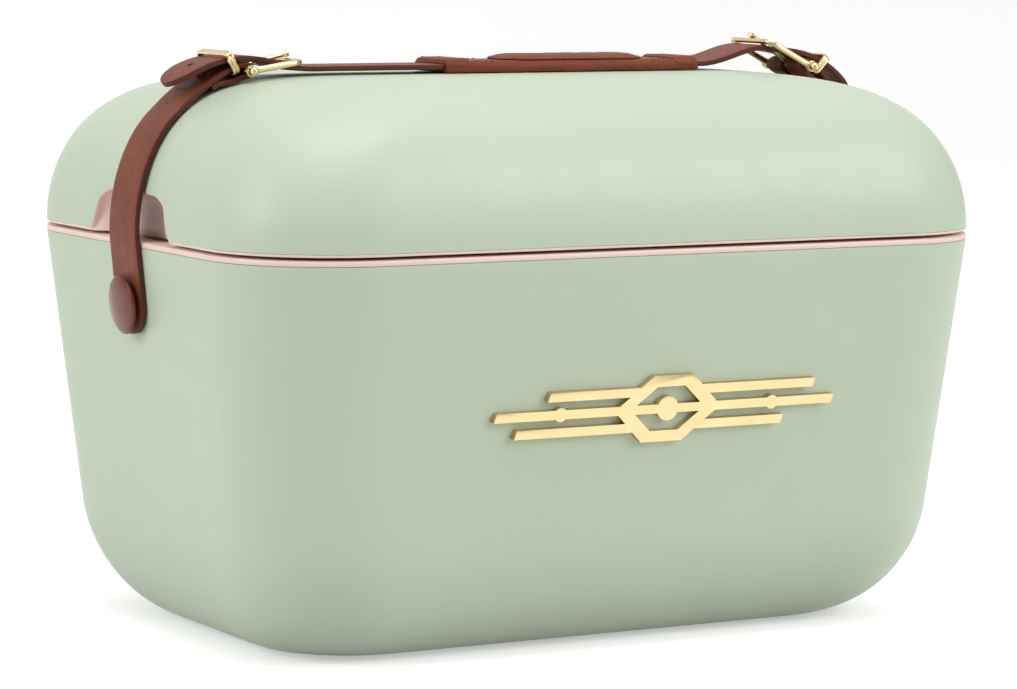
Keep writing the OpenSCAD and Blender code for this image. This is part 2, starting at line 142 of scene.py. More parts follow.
# ------------------------------------------------------------------ meshes
def apply_modifiers(ob):
    deps = bpy.context.evaluated_depsgraph_get()
    me = bpy.data.meshes.new_from_object(ob.evaluated_get(deps))
    old = ob.data
    ob.modifiers.clear()
    ob.data = me
    me.name = ob.name
    bpy.data.meshes.remove(old)


def shade(ob, sharp):
    me = ob.data
    me.shade_smooth()
    if sharp < 180:
        me.set_sharp_from_angle(angle=rad(sharp))


def make(name, verts, faces, mats, sharp=35, face_mats=None, uv=None, outward=True):
    me = bpy.data.meshes.new(name)
    me.from_pydata((np.asarray(verts, float) * MM).tolist(), [], [list(f) for f in faces])
    for m in mats if isinstance(mats, (list, tuple)) else [mats]:
        me.materials.append(m)
    if face_mats is not None:
        me.polygons.foreach_set("material_index", np.asarray(face_mats, np.int32))
    if uv is not None:
        layer = me.uv_layers.new(name="Leather")
        loops = np.zeros(len(me.loops), np.int32)
        me.loops.foreach_get("vertex_index", loops)
        layer.data.foreach_set("uv", (np.asarray(uv, float)[loops] * MM).ravel())
    ob = bpy.data.objects.new(name, me)
    scene.collection.objects.link(ob)
    if outward:
        bm = bmesh.new()
        bm.from_mesh(me)
        bmesh.ops.remove_doubles(bm, verts=bm.verts, dist=2e-7)
        bmesh.ops.recalc_face_normals(bm, faces=bm.faces)
        bm.to_mesh(me)
        bm.free()
    shade(ob, sharp)
    return ob


def stack(rings, closed=False, caps=(True, True)):
    """Quads between rings of equal length, rings closed round."""
    n, m = len(rings[0]), len(rings)
    verts = np.vstack(rings)
    faces = []
    for k in range(m if closed else m - 1):
        k2 = (k + 1) % m
        for i in range(n):
            j = (i + 1) % n
            faces.append((k * n + i, k * n + j, k2 * n + j, k2 * n + i))
    if not closed:
        if caps[0]:
            faces.append(tuple(range(n - 1, -1, -1)))
        if caps[1]:
            faces.append(tuple((m - 1) * n + i for i in range(n)))
    return verts, faces


def joined(parts):
    verts, faces, base = [], [], 0
    for v, f in parts:
        v = np.asarray(v, float)
        verts.append(v)
        faces += [tuple(i + base for i in q) for q in f]
        base += len(v)
    return np.vstack(verts), faces


def lathe(profile, n=48, closed=False):
    """Solid of revolution about Z. Its points on the axis become one vertex after welding."""
    w = np.arange(n) * 2 * math.pi / n
    rings = []
    for r, z in profile:
        r = max(r, 1e-5)
        rings.append(np.stack([r * np.cos(w), r * np.sin(w), np.full(n, float(z))], 1))
    return stack(rings, closed, caps=(False, False) if closed else (True, True))


def mirrored(profile):
    """A (radius, z) profile followed by its mirror image in z."""
    return profile + [(r, -z) for r, z in profile[::-1]]


def moved(part, matrix):
    v, f = part
    v = np.c_[np.asarray(v, float), np.ones(len(v))] @ np.array(matrix).T
    return v[:, :3], f


def rot_y(deg):
    return Matrix.Rotation(rad(deg), 4, "Y")


def shift(x, y, z):
    return Matrix.Translation((x, y, z))


def rounded(points, radius, steps=4):
    """Closed 2D outline with its corners rounded. radius is one number or one for each point."""
    out, n = [], len(points)
    for i in range(n):
        p0, p, p1 = (np.array(points[(i + k) % n], float) for k in (-1, 0, 1))
        r = radius[i] if isinstance(radius, (list, tuple)) else radius
        r = min(r, 0.49 * np.linalg.norm(p - p0), 0.49 * np.linalg.norm(p1 - p))
        a, b = p + unit(p0 - p) * r, p + unit(p1 - p) * r
        out += [a * (1 - s) ** 2 + 2 * p * s * (1 - s) + b * s * s for s in np.linspace(0, 1, steps + 1)]
    return np.array(out)


def sweep(path, side, up, outline, closed=False):
    """Sweeps a closed outline (side, up) along a 3D path. outline may be one for each point."""
    rings = []
    for i, p in enumerate(path):
        o = outline[i] if isinstance(outline, list) else outline
        rings.append(np.asarray(p) + o[:, :1] * side[i] + o[:, 1:] * up[i])
    return stack(rings, closed)


SIDE = {"left": Matrix.Rotation(math.pi, 4, "Z"), "right": Matrix.Identity(4)}
# turns the axis of a lathe's solid from Z to Y
ALONG_Y = Matrix.Rotation(rad(90), 4, "X")


def at_bar(side):
    (x, z), turn, _, _ = BARS[side]
    return SIDE[side] @ shift(x, 0, z) @ rot_y(turn)


def wall_x(z):
    return A - DRAFT * (BODY_H - z)


def on_end(side):
    return SIDE[side] @ shift(wall_x(BUTTON_Z), 0, BUTTON_Z) @ rot_y(90 + math.degrees(math.atan(DRAFT)))


def done(ob, body, *nodes, slot=None):
    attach(ob, body)
    if nodes:
        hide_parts(*nodes)
    return ob


# ------------------------------------------------------------------ materials
class Nodes:
    def __init__(self, name):
        self.mat = bpy.data.materials.new(name)
        self.mat.use_nodes = True
        self.tree = self.mat.node_tree
        self.tree.nodes.clear()
        self.out = self.tree.nodes.new("ShaderNodeOutputMaterial")
        self.bsdf = self.tree.nodes.new("ShaderNodeBsdfPrincipled")
        self.link(self.bsdf.outputs[0], self.out.inputs["Surface"])

    def add(self, kind, **values):
        node = self.tree.nodes.new("ShaderNode" + kind)
        for k, v in values.items():
            if hasattr(node, k):
                setattr(node, k, v)
            else:
                node.inputs[k.replace("_", " ")].default_value = v
        return node

    def link(self, a, b):
        self.tree.links.new(a, b)

    def place(self, uv=None, scale=(1, 1, 1)):
        src = self.add("UVMap", uv_map=uv).outputs[0] if uv else self.add("TexCoord").outputs["Object"]
        m = self.add("Mapping")
        m.inputs["Scale"].default_value = scale
        self.link(src, m.inputs["Vector"])
        return m.outputs[0]

    def noise(self, where, scale, detail=3.0, rough=0.55):
        n = self.add("TexNoise", Scale=scale, Detail=detail, Roughness=rough)
        self.link(where, n.inputs["Vector"])
        return n.outputs["Fac"]

    def ramp(self, fac, stops):
        r = self.add("ValToRGB")
        while len(r.color_ramp.elements) < len(stops):
            r.color_ramp.elements.new(0.5)
        for e, (p, c) in zip(r.color_ramp.elements, stops):
            e.position = p
            e.color = (*c, 1)
        self.link(fac, r.inputs[0])
        return r.outputs[0]

    def span(self, fac, lo, hi, a=0.3, b=0.7):
        m = self.add("MapRange")
        for k, v in zip(("From Min", "From Max", "To Min", "To Max"), (a, b, lo, hi)):
            m.inputs[k].default_value = v
        self.link(fac, m.inputs["Value"])
        return m.outputs[0]

    def math(self, op, a, b):
        m = self.add("Math", operation=op)
        for k, v in enumerate((a, b)):
            if isinstance(v, (int, float)):
                m.inputs[k].default_value = v
            else:
                self.link(v, m.inputs[k])
        return m.outputs[0]

    def bump(self, height, strength, distance, after=None):
        b = self.add("Bump", Strength=strength, Distance=distance)
        self.link(height, b.inputs["Height"])
        if after is not None:
            self.link(after, b.inputs["Normal"])
        return b.outputs[0]

    def set(self, **values):
        for k, v in values.items():
            socket = self.bsdf.inputs[k.replace("_", " ")]
            if isinstance(v, (int, float, tuple)):
                socket.default_value = v
            else:
                self.link(v, socket)


def linear(level):
    c = level / 255.0
    return c / 12.92 if c <= 0.04045 else ((c + 0.055) / 1.055) ** 2.4


def srgb(*levels):
    return tuple(linear(c) for c in levels)


def shaded(colour, k):
    return tuple(c * k for c in colour)


def plastic(name, colour, rough):
    n = Nodes(name)
    w = n.place()
    cloud = n.noise(w, 7, 2)
    fine = n.noise(w, 420, 4)
    mix = n.math("ADD", n.math("MULTIPLY", cloud, 0.72), n.math("MULTIPLY", fine, 0.28))
    n.set(
        Base_Color=n.ramp(mix, [(0.3, shaded(colour, 0.972)), (0.7, shaded(colour, 1.022))]),
        Roughness=n.span(n.noise(w, 55, 4), rough - 0.035, rough + 0.045),
        Specular_IOR_Level=0.5,
    )
    skin = n.bump(n.noise(w, 1500, 2, 0.6), 0.10, 0.00012)
    n.set(Normal=n.bump(n.noise(w, 26, 2), 0.02, 0.0006, skin))
    return n.mat


def leather(name, colour, dark, rough=0.46):
    n = Nodes(name)
    w = n.place("Leather")
    cells = n.add("TexVoronoi", feature="DISTANCE_TO_EDGE", Scale=1250.0)
    n.link(w, cells.inputs["Vector"])
    crease = n.span(cells.outputs["Distance"], 0, 1, 0.0, 0.22)
    cloud = n.noise(w, 38, 4, 0.6)
    pull = n.noise(w, 160, 3)
    close = n.math("ADD", n.math("MULTIPLY", pull, 0.28), n.math("MULTIPLY", crease, 0.12))
    fac = n.math("ADD", n.math("MULTIPLY", cloud, 0.6), close)
    mid = tuple(0.5 * (a + b) for a, b in zip(colour, dark))
    n.set(
        Base_Color=n.ramp(fac, [(0.30, dark), (0.48, mid), (0.66, colour)]),
        Roughness=n.span(n.noise(w, 300, 3), rough - 0.06, rough + 0.10),
        Specular_IOR_Level=0.17,
        Coat_Weight=0.03,
        Coat_Roughness=0.32,
    )
    grain = n.bump(crease, 0.30, 0.00010)
    pores = n.bump(n.noise(w, 3200, 2), 0.12, 0.00006, grain)
    n.set(Normal=n.bump(n.noise(w, 90, 3), 0.10, 0.0005, pores))
    return n.mat


def metal(name, colour, rough, scratch=0.05):
    n = Nodes(name)
    w = n.place()
    long = n.place(scale=(60, 900, 900))
    cloud = n.noise(w, 60, 3)
    lines = n.noise(long, 1.0, 3, 0.6)
    n.set(
        Base_Color=n.ramp(cloud, [(0.32, shaded(colour, 0.9)), (0.68, colour)]),
        Metallic=1.0,
        Roughness=n.math("ADD", n.span(cloud, rough - 0.03, rough + 0.05), n.math("MULTIPLY", lines, 0.05)),
    )
    n.set(Normal=n.bump(lines, scratch, 0.00005, n.bump(n.noise(w, 700, 2), 0.03, 0.00008)))
    return n.mat


def foam_like(name, colour, scale=700.0):
    n = Nodes(name)
    w = n.place()
    v = n.add("TexVoronoi", Scale=scale)
    n.link(w, v.inputs["Vector"])
    n.set(
        Base_Color=n.ramp(v.outputs["Distance"], [(0.1, colour), (0.7, shaded(colour, 0.82))]),
        Roughness=n.span(n.noise(w, 90), 0.82, 0.95),
        Specular_IOR_Level=0.2,
    )
    n.set(Normal=n.bump(v.outputs["Distance"], 0.35, 0.0004))
    return n.mat


def enamel(name, colour):
    n = Nodes(name)
    w = n.place()
    n.set(
        Base_Color=n.ramp(n.noise(w, 45, 3), [(0.3, shaded(colour, 0.86)), (0.7, colour)]),
        Roughness=n.span(n.noise(w, 120, 3), 0.10, 0.15),
        Specular_IOR_Level=0.28,
        Normal=n.bump(n.noise(w, 240, 2), 0.03, 0.0002),
    )
    return n.mat


def thread(name, colour):
    n = Nodes(name)
    w = n.place()
    wave = n.add("TexWave", Scale=900.0, Distortion=1.5, bands_direction="DIAGONAL")
    n.link(w, wave.inputs["Vector"])
    n.set(
        Base_Color=n.ramp(wave.outputs["Fac"], [(0.2, shaded(colour, 0.6)), (0.8, colour)]),
        Roughness=n.span(n.noise(w, 900), 0.55, 0.75),
    )
    n.set(Normal=n.bump(wave.outputs["Fac"], 0.4, 0.00015))
    return n.mat


def rubber(name, dark, light):
    n = Nodes(name)
    w = n.place()
    n.set(
        Base_Color=n.ramp(n.noise(w, 90, 3), [(0.3, dark), (0.7, light)]),
        Roughness=n.span(n.noise(w, 200), 0.55, 0.7),
        Normal=n.bump(n.noise(w, 1400, 2), 0.15, 0.0001),
    )
    return n.mat


SAGE = plastic("sage_moulded_plastic", srgb(190, 203, 181), 0.42)
BLUSH = plastic("blush_moulded_plastic", srgb(237, 212, 200), 0.42)
LEATHER = leather("brown_leather", srgb(129, 65, 40), srgb(104, 50, 31))
EDGE = leather("leather_painted_edge", srgb(98, 52, 38), srgb(72, 37, 27), 0.5)
BRASS = metal("pale_brass", srgb(236, 213, 168), 0.17)
GOLD = metal("emblem_pale_gold", srgb(224, 199, 150), 0.20)
STEEL = metal("brushed_steel", srgb(182, 182, 180), 0.30, 0.12)
FOAM = foam_like("white_foam", srgb(240, 236, 222))
PAD_FOAM = foam_like("padding_foam", srgb(210, 200, 180), 900.0)
ENAMEL = enamel("brown_button_enamel", srgb(112, 50, 32))
THREAD = thread("brown_thread", srgb(136, 74, 52))
RUBBER = rubber("grey_rubber_seal", srgb(176, 166, 158), srgb(198, 188, 180))
BY_SLOT = {
    "sage_plastic": SAGE, "blush_plastic": BLUSH, "foam": FOAM, "leather": LEATHER,
    "button_enamel": ENAMEL, "pale_brass": BRASS, "steel": STEEL, "seal_rubber": RUBBER,
}


# ------------------------------------------------------------------ plan outlines of the box
class Plan:
    """Columns round a rounded rectangle: steps on each corner, and shares along ends and sides."""

    def __init__(self, ends, sides, steps=18):
        one, two, share = [], [], []
        signs = [(1, 1, 0), (-1, 1, 90), (-1, -1, 180), (1, -1, 270)]
        for k, (sx, sy, w0) in enumerate(signs):
            for i in range(steps + 1):
                w = rad(w0 + 90 * i / steps)
                one.append((sx, sy, math.cos(w), math.sin(w)))
                two.append(one[-1])
                share.append(0.0)
            nx, ny, nw = signs[(k + 1) % 4]
            w = rad(w0 + 90)
            for t in sides if k % 2 == 0 else ends:
                one.append((sx, sy, math.cos(w), math.sin(w)))
                two.append((nx, ny, math.cos(rad(nw)), math.sin(rad(nw))))
                share.append(t)
        self.one, self.two, self.share = np.array(one), np.array(two), np.array(share)

    def at(self, a, b, r, z):
        q = np.minimum(r, np.minimum(a, b) - 0.01)

        def corner(c):
            return np.stack([c[:, 0] * (a - q) + q * c[:, 2], c[:, 1] * (b - q) + q * c[:, 3]], 1)

        t = self.share[:, None]
        p = corner(self.one) * (1 - t) + corner(self.two) * t
        return np.c_[p, np.broadcast_to(np.asarray(z, float), len(p))]


def body_size(t, z, ea=0.0, eb=0.0):
    d = DRAFT * (BODY_H - z) + t
    return A - d - ea, B - d - eb, CORNER - 0.3 * (d + ea) - 0.5 * t, z


def body_wall(t, floor, rise, ra, rb, steps=16):
    out = []
    for i in range(steps + 1):
        w = rad(90 * i / steps)
        left = 1 - math.sin(w)
        out.append(body_size(t, floor + rise * (1 - math.cos(w)), ra * left, rb * left))
    return out


box_plan = Plan(np.linspace(0, 1, 14)[1:-1], np.linspace(0, 1, 20)[1:-1])


def shrunk(plan, size, factor):
    p = plan.at(*size)
    p[:, :2] *= factor
    return p


def round_hole(plan, size, r, z):
    p = plan.at(*size)
    w = np.arctan2(p[:, 1], p[:, 0])
    return np.stack([r * np.cos(w), r * np.sin(w), np.full(len(p), float(z))], 1)


def liner_wall(t, floor, steps):
    """Rings of the liner's rounded bottom, inside or outside."""
    return body_wall(t, floor, ROUND_H - 12, ROUND_X - 8, ROUND_Y - 8, steps)


def closed_shell(plan, sizes, near=0.3):
    """A body between rings of those sizes, with a small ring before the caps at both ends."""
    rings = [plan.at(*s) for s in sizes]
    return stack([shrunk(plan, sizes[0], near), *rings, shrunk(plan, sizes[-1], near)])


# body shell, with its filling hole in the base
outer = body_wall(0, 0, ROUND_H, ROUND_X, ROUND_Y, 22)
outer += [body_size(0, z) for z in (70, 92, 120, 150, 178, 196, BODY_H - 1)]
edge = ((0.15, 0.3), (0.6, 0), (1.9, 0), (2.35, 0.3), (SHELL, 1))
outer += [body_size(t, BODY_H - drop) for t, drop in edge]
inner = [body_size(SHELL, z) for z in (178, 120, 80)]
inner += body_wall(SHELL, 3, ROUND_H - 3, ROUND_X, ROUND_Y, 12)[::-1]
low, top = outer[0], inner[-1]
mouth = ((FILL_R, 1.2), (FILL_R + 0.5, 0.25), (FILL_R + 1.2, 0))
rings = [round_hole(box_plan, low, r, z) for r, z in mouth]
rings += [shrunk(box_plan, low, 0.35), shrunk(box_plan, low, 0.7)] + [box_plan.at(*s) for s in outer + inner]
rings += [shrunk(box_plan, top, 0.6), round_hole(box_plan, top, FILL_R, 3.0)]
done(make("body_outer", *stack(rings, True), SAGE), "base", "body_shell", slot="sage_plastic")

# inner liner with its rim
bend = BODY_H + 0.6
inside = liner_wall(WALL, FLOOR_Z, 18) + [body_size(WALL, z) for z in (90, 120, 160, 190, bend)]
for w in (25, 50, 75, 90):
    inside.append(body_size(WALL - 2.2 * (1 - math.cos(rad(w))), bend + 2.2 * math.sin(rad(w))))
lip = [(0.9, RIM_TOP), (0.32, RIM_TOP - 0.22), (0, RIM_TOP - 0.9)]
lip += [(0, bend), (0.25, BODY_H + 0.15), (1.0, BODY_H + 0.1)]
lip = [(A - d, B - d, CORNER - d, z) for d, z in lip]
back = [body_size(WALL - 2, z) for z in (BODY_H + 0.1, 120)] + liner_wall(WALL - 2, FLOOR_Z - 2, 10)[::-1]
liner = closed_shell(box_plan, inside + lip + back)
done(make("body_inner", *liner, BLUSH), "base", "body_liner", slot="blush_plastic")

# insulation of the body
out = body_wall(SHELL + 0.2, 3.2, ROUND_H - 3.2, ROUND_X, ROUND_Y, 12)
out += [body_size(SHELL + 0.2, z) for z in (120, BODY_H - 0.2)]
back = [body_size(WALL - 2.2, z) for z in (BODY_H - 0.2, 120)]
back += liner_wall(WALL - 2.2, FLOOR_Z - 2.2, 10)[::-1]
done(make("body_foam", *closed_shell(box_plan, out + back), FOAM), "base", "body_insulation", slot="foam")

plug = [(0, 0.75), (2.4, 0.75), (2.9, 0.95), (3.4, 0.6), (9.2, 0.6), (9.8, 0.9)]
plug = lathe(plug + [(9.9, 1.3), (9.9, 2.7), (9.6, 2.9), (0, 2.9)])
done(make("body_plug", *plug, SAGE), "base", "body_fill_plug", slot="sage_plastic")


# ------------------------------------------------------------------ lid
ys = np.concatenate([[-88, -80, -72, -64, -57], np.linspace(-52, 52, 81), [57, 64, 72, 80, 88]])
END_Y0 = B - CORNER
lid_plan = Plan((1 - ys[::-1] / END_Y0) / 2, np.linspace(0, 1, 26)[1:-1], 20)
flat_plan = lid_plan.at(A, B, CORNER, 0)
IS_END = (np.abs(flat_plan[:, 0]) > A - 1e-6) & (np.abs(flat_plan[:, 1]) < END_Y0 + 1e-6)
END_Y = np.abs(flat_plan[:, 1])


def notch_rise(y, grow=0.0):
    c = np.clip((NOTCH_W + grow - np.abs(y)) / 26.0, 0, 1)
    return (NOTCH_H + grow) * smooth((c - 0.08) / 0.38) * (1 - 0.6 * (1 - c) ** 1.6)


def notch_depth(y):
    return NOTCH_D * smooth((NOTCH_W - np.abs(y)) / 19.0)


def dome_at(w, t=0.0, dz=0.0):
    """Points of the dome for one rise angle, or one for each column, in degrees."""
    w = np.radians(np.broadcast_to(np.asarray(w, float), len(END_Y)))
    u = np.cos(w) ** (2 / DOME_P)
    z = LID + (DOME_H - t) * np.sin(w)
    corner = np.minimum(CORNER, B * u) - 0.8 * t
    return lid_plan.at(MID + B * u - t, np.maximum(B * u - t, 1.5), corner, z + dz)


def start_angle(grow):
    """Rise angle at which each column begins, so that the shell's edge follows the finger notches."""
    w = np.zeros(len(END_Y))
    for _ in range(8):
        y = np.abs(dome_at(w)[:, 1])
        w = np.degrees(np.arcsin(np.clip(np.where(IS_END, notch_rise(y, grow), 0) / DOME_H, 0, 0.9)))
    return w


TOP_ANGLE = 89.93
steps = [0, 0.5, 1.2, 2.2, 3.6, *np.linspace(5.5, 84, 34), 86, 87.5, 88.6, 89.5, TOP_ANGLE]
steps = np.array(steps) / TOP_ANGLE
w0 = start_angle(0.9)
rise = [w0 + (TOP_ANGLE - w0) * s for s in steps]
rings = [dome_at(w) for w in rise[::-1]]
rings += [dome_at(w0, t, dz) for t, dz in ((0.12, -0.28), (0.5, -0.42), (2.0, -0.42), (2.4, -0.1))]
rings += [dome_at(w, SHELL) for w in rise[2::2]]
for r in rings[len(rise) : len(rise) + 4]:
    r[:, 2] = np.maximum(r[:, 2], LID)
done(make("lid_outer", *stack(rings), SAGE), "lid", "lid_shell", slot="sage_plastic")

profile = resample([(26.5, 0.4), (28, 12), (30.5, 26), (35, 37), (43, 46), (55, 52.5), (72, 56)], 3.0)


def hollow(t, up):
    return [(A - q - t, B - q - t, max(CORNER - q - t, 24), LID + z + up) for q, z in profile]


def flat(d, z, cut=0.0):
    """Ring of the lid's flange, set back in the finger notches."""
    p = lid_plan.at(A - d, B - d, CORNER - 0.8 * d, z)
    back = np.where(IS_END, np.maximum(notch_depth(END_Y) + cut - d, 0), 0)
    p[:, 0] -= np.sign(p[:, 0]) * back
    return p


inner = hollow(0, 0)
rings = [shrunk(lid_plan, inner[-1], 0.4)] + [lid_plan.at(*s) for s in inner[::-1]]
# the ring that hangs into the box, then the flange, which is open at the finger notches
hang = [(26.5, RIM_TOP - 5), (26.2, RIM_TOP - 5.6), (25.6, RIM_TOP - 5.6), (25.3, RIM_TOP - 5.1)]
rings += [flat(d, z) for d, z in hang + [(25.3, FLANGE - 0.4), (24.9, FLANGE)]]
brim = [(19.8, FLANGE), (14.6, FLANGE), (1.0, FLANGE), (0.3, FLANGE + 0.2), (0, FLANGE + 0.8)]
brim += [(0, LID - 0.4), (0.3, LID - 0.1), (14.6, LID - 0.1)]
rings += [flat(d, z, 0.3) for d, z in brim] + [flat(24.3, LID - 0.1)]
rings += [lid_plan.at(*s) for s in hollow(-2, 2)] + [shrunk(lid_plan, hollow(-2, 2)[-1], 0.4)]
done(make("lid_inner", *stack(rings), BLUSH), "lid", "lid_liner", "lid_flange", slot="blush_plastic")

# insulation of the lid
rings = [shrunk(lid_plan, hollow(-2.2, 2.2)[-1], 0.4)] + [lid_plan.at(*s) for s in hollow(-2.2, 2.2)[::-1]]
rings += [flat(24.1, LID + 0.2), flat(16, LID + 0.2, 3.6), flat(3.1, LID + 0.2, 3.6)]
w0 = start_angle(4.2)
above = [w0 + (89.5 - w0) * s for s in steps[2:-1:2]]
for w in [0 * w0 + k for k in (7, 11, 14.5, 17.4)] + [w for w in above if np.min(w) > 18]:
    rings.append(dome_at(w, SHELL + 0.2))
# it stays behind the finger cups
limit = A - NOTCH_D - 3.2
for p in rings:
    low = (np.abs(p[:, 1]) < NOTCH_W + 3) & (p[:, 2] < LID + notch_rise(p[:, 1]) + 2.4)
    p[:, 0] = np.where(low, np.clip(p[:, 0], -limit, limit), p[:, 0])
done(make("lid_foam", *stack(rings), FOAM), "lid", "lid_insulation", slot="foam")

# seal between lid and rim, a squarish oval section
rings = []
for w in np.linspace(0, 360, 17)[:-1]:
    c, s = math.cos(rad(w)), math.sin(rad(w))
    across, up = math.copysign(abs(c) ** 0.6, c), math.copysign(abs(s) ** 0.7, s)
    rings.append(flat(17.25 - 2.2 * across, (RIM_TOP + FLANGE) / 2 + 0.05 + 0.66 * up))
done(make("lid_seal_ring", *stack(rings, True), RUBBER), "lid", "lid_seal", slot="seal_rubber")

z0 = LID + 54.4
plug = [(0, 0.25), (2.0, 0.25), (2.6, 0), (7.4, 0), (7.9, 0.3), (8, 0.7), (8, 1.4), (0, 1.4)]
plug = lathe([(r, z0 + z) for r, z in plug])
done(make("lid_plug", *plug, BLUSH), "lid", "lid_fill_plug", slot="blush_plastic")


def dome_x(z):
    u = (1 - np.clip((z - LID) / DOME_H, 0, 0.999) ** 2) ** (1 / DOME_P)
    return MID + B * u


def finger_cup(side):
    """Lining of a finger notch: a lip along the shell's edge, a soft inner corner and the back wall."""
    cols, yy = [], np.linspace(-50.6, 50.6, 120)
    for y in yy:
        edge, lip_edge, deep = notch_rise(y), notch_rise(y, 0.8), notch_depth(y)
        zo, zi = LID + lip_edge, LID + edge
        xb = A - deep
        r = min(7.5, 0.8 * edge, 0.62 * deep)
        xo = float(dome_x(zo))
        xi = max(float(dome_x(zi)), xb)
        pts = [(xo - 2.2, zo - 0.05), (xo - 0.42, zo - 0.05), (xo - 0.16, zo - 0.25 * min(1, lip_edge))]
        pts += [(xi - 0.10, zi + 0.35 * min(1, edge)), (xi - 0.32, zi + 0.1 * min(1, edge))]
        pts.append((xi - 0.8 * min(1, deep / 2), zi))
        start = (xb + r, zi - 0.04 * r)
        pts += [tuple(np.array(pts[-1]) * (1 - s) + np.array(start) * s) for s in (0.35, 0.7)]
        for w in np.radians(np.linspace(0, 90, 9)):
            pts.append((xb + r * (1 - math.sin(w)), start[1] - r * (1 - math.cos(w))))
        zc = zi - 1.04 * r
        pts += [(xb, zc * (1 - s) + (FLANGE + 0.5) * s) for s in (0.25, 0.5, 0.75, 1)]
        pts += [(xb - 0.25, FLANGE + 0.12), (xb - 1.0, FLANGE + 0.02)]
        cols.append([(px, y, pz) for px, pz in pts])
    n = len(cols[0])
    verts = np.array([p for c in cols for p in c])
    faces = []
    for i in range(len(cols) - 1):
        for k in range(i * n, i * n + n - 1):
            faces.append((k, k + 1, k + n + 1, k + n))
    verts, faces = moved((verts, faces), SIDE[side])
    ob = make("notch_cup_" + side, verts, faces, BLUSH, 180)
    # the visible side faces outward and down
    me = ob.data
    centre = me.polygons[(len(cols) // 2) * (n - 1) + n - 4]
    if centre.normal.x * (1 if side == "right" else -1) < 0:
        me.flip_normals()
    solid = ob.modifiers.new("wall", "SOLIDIFY")
    solid.thickness, solid.offset = 1.3 * MM, -1
    apply_modifiers(ob)
    shade(ob, 50)
    done(ob, "lid", "finger_cup_" + side, slot="blush_plastic")


# ------------------------------------------------------------------ strap paths in the plane of the strap
def dome_point(w, off):
    u = math.cos(rad(w)) ** (2 / DOME_P)
    v = unit([DOME_H * DOME_P * u ** (DOME_P - 1) / 2, B * math.sqrt(1 - u**DOME_P)])
    return np.array([MID + B * u, LID + DOME_H * math.sin(rad(w))]) + off * v


def leg_main(side):
    bar, turn, leave, reach = BARS[side]
    over = []
    for w in range(4, 69, 8):
        if MID + B * math.cos(rad(w)) ** (2 / DOME_P) > leave:
            over.append(dome_point(w, STRAP_T / 2 + 1.1))
    s, e = over[-1], unit(over[-1] - over[-2])
    up = np.array(bar) + turned([0, WRAP], turn)
    end = bez(s, s + e * reach, up + turned([reach * 0.7, -0.6], turn), up, 12, 1)
    wall = [(wall_x(z) + STAND, z) for z in (CREASE + 0.15, 198, 203.5)]
    return np.vstack([wall, over, end])


def fold_gap(f):
    return STRAP_T + 0.25 + (2 * WRAP - STRAP_T - 0.25) * (1 - smooth((f - 0.5) / 0.4))


def leg_path(side, back=8):
    bar, turn, _, _ = BARS[side]
    m = leg_main(side)
    d = directions(m)
    normal = np.stack([-d[:, 1], d[:, 0]], 1)
    n = len(m)
    round_bar = [(math.cos(rad(w)), math.sin(rad(w))) for w in range(112, 269, 13)]
    wrap = [np.array(bar) + turned(WRAP * np.array(p), turn) for p in round_bar]
    ret = [m[k] + fold_gap((n - 1 - k) / (back - 1)) * normal[k] for k in range(n - 3, n - back - 1, -1)]
    low = BUTTON_Z - 15.5
    wall = [(wall_x(z) + STAND, z) for z in (low, low + 4, low + 9, BUTTON_Z, 180, 187)]
    return np.vstack([wall, m, wrap, ret]), m, normal


def tongue(side):
    bar, turn, _, _ = BARS[side]
    before = bez([-30, 0.9], [-22, 1.7], [-12, 6.1], [0, 6.2], 8)
    q = np.vstack([before, bez([0, 6.2], [12, 6.25], [24, 3.4], [38, -7.2], 9, 1)])
    return np.array(bar) + turned(q, turn)


def ribbon(path, half_width, thick=STRAP_T, across=10, edge=0.55):
    """Leather along a side-view path (x, z), with its half width at each point.

    Returns vertices, faces, face materials and UVs."""
    d = directions(path)
    up = np.stack([-d[:, 1], d[:, 0]], 1)
    s = lengths(path)
    rings, uvs = [], []
    h = thick / 2
    for i, p in enumerate(path):
        w = max(half_width[i], 0.02)
        e = min(edge, w * 0.8)
        y = np.linspace(-(w - e), w - e, across + 1)
        arc = [(w - e + e * math.sin(rad(a)), (h - edge) + edge * math.cos(rad(a))) for a in (30, 62, 90)]
        arc += [(w - e + e * math.sin(rad(a)), -(h - edge) + edge * math.cos(rad(a))) for a in (90, 118, 150)]
        ring = [(v, h) for v in y] + arc + [(v, -h) for v in y[::-1]] + [(-a, -b) for a, b in arc]
        # crowned a little, as cut leather lies
        ring = np.array(ring)
        crown = 1 - np.clip(np.abs(ring[:, 0]) / STRAP_W * 2, 0, 1) ** 2
        ring[:, 1] += 0.10 * crown * np.sign(ring[:, 1])
        rings.append(np.stack([p[0] + ring[:, 1] * up[i, 0], ring[:, 0], p[1] + ring[:, 1] * up[i, 1]], 1))
        v = ring[:, 0] + np.where(ring[:, 1] < 0, 60.0, 0.0)
        uvs.append(np.stack([np.full(len(ring), s[i]), v], 1))
    verts, faces = stack(rings)
    n = len(rings[0])
    mats = []
    for f in faces[:-2]:
        k = f[0] % n
        on_edge = across <= k <= across + 6 or k >= 2 * across + 7 or k == n - 1
        mats.append(1 if on_edge else 0)
    mats += [1, 1]
    return verts, faces, mats, np.vstack(uvs)


def tip_width(s, length, r=STRAP_W / 2, both=False, first=True):
    """Half-width along a strap of that length whose ends are rounded."""
    w = np.full(len(s), STRAP_W / 2)
    for on, d in ((first, s), (both, length - s)):
        if on:
            w = np.where(d < r, np.minimum(w, np.sqrt(np.maximum(1e-4, r * r - (r - d) ** 2))), w)
    return w


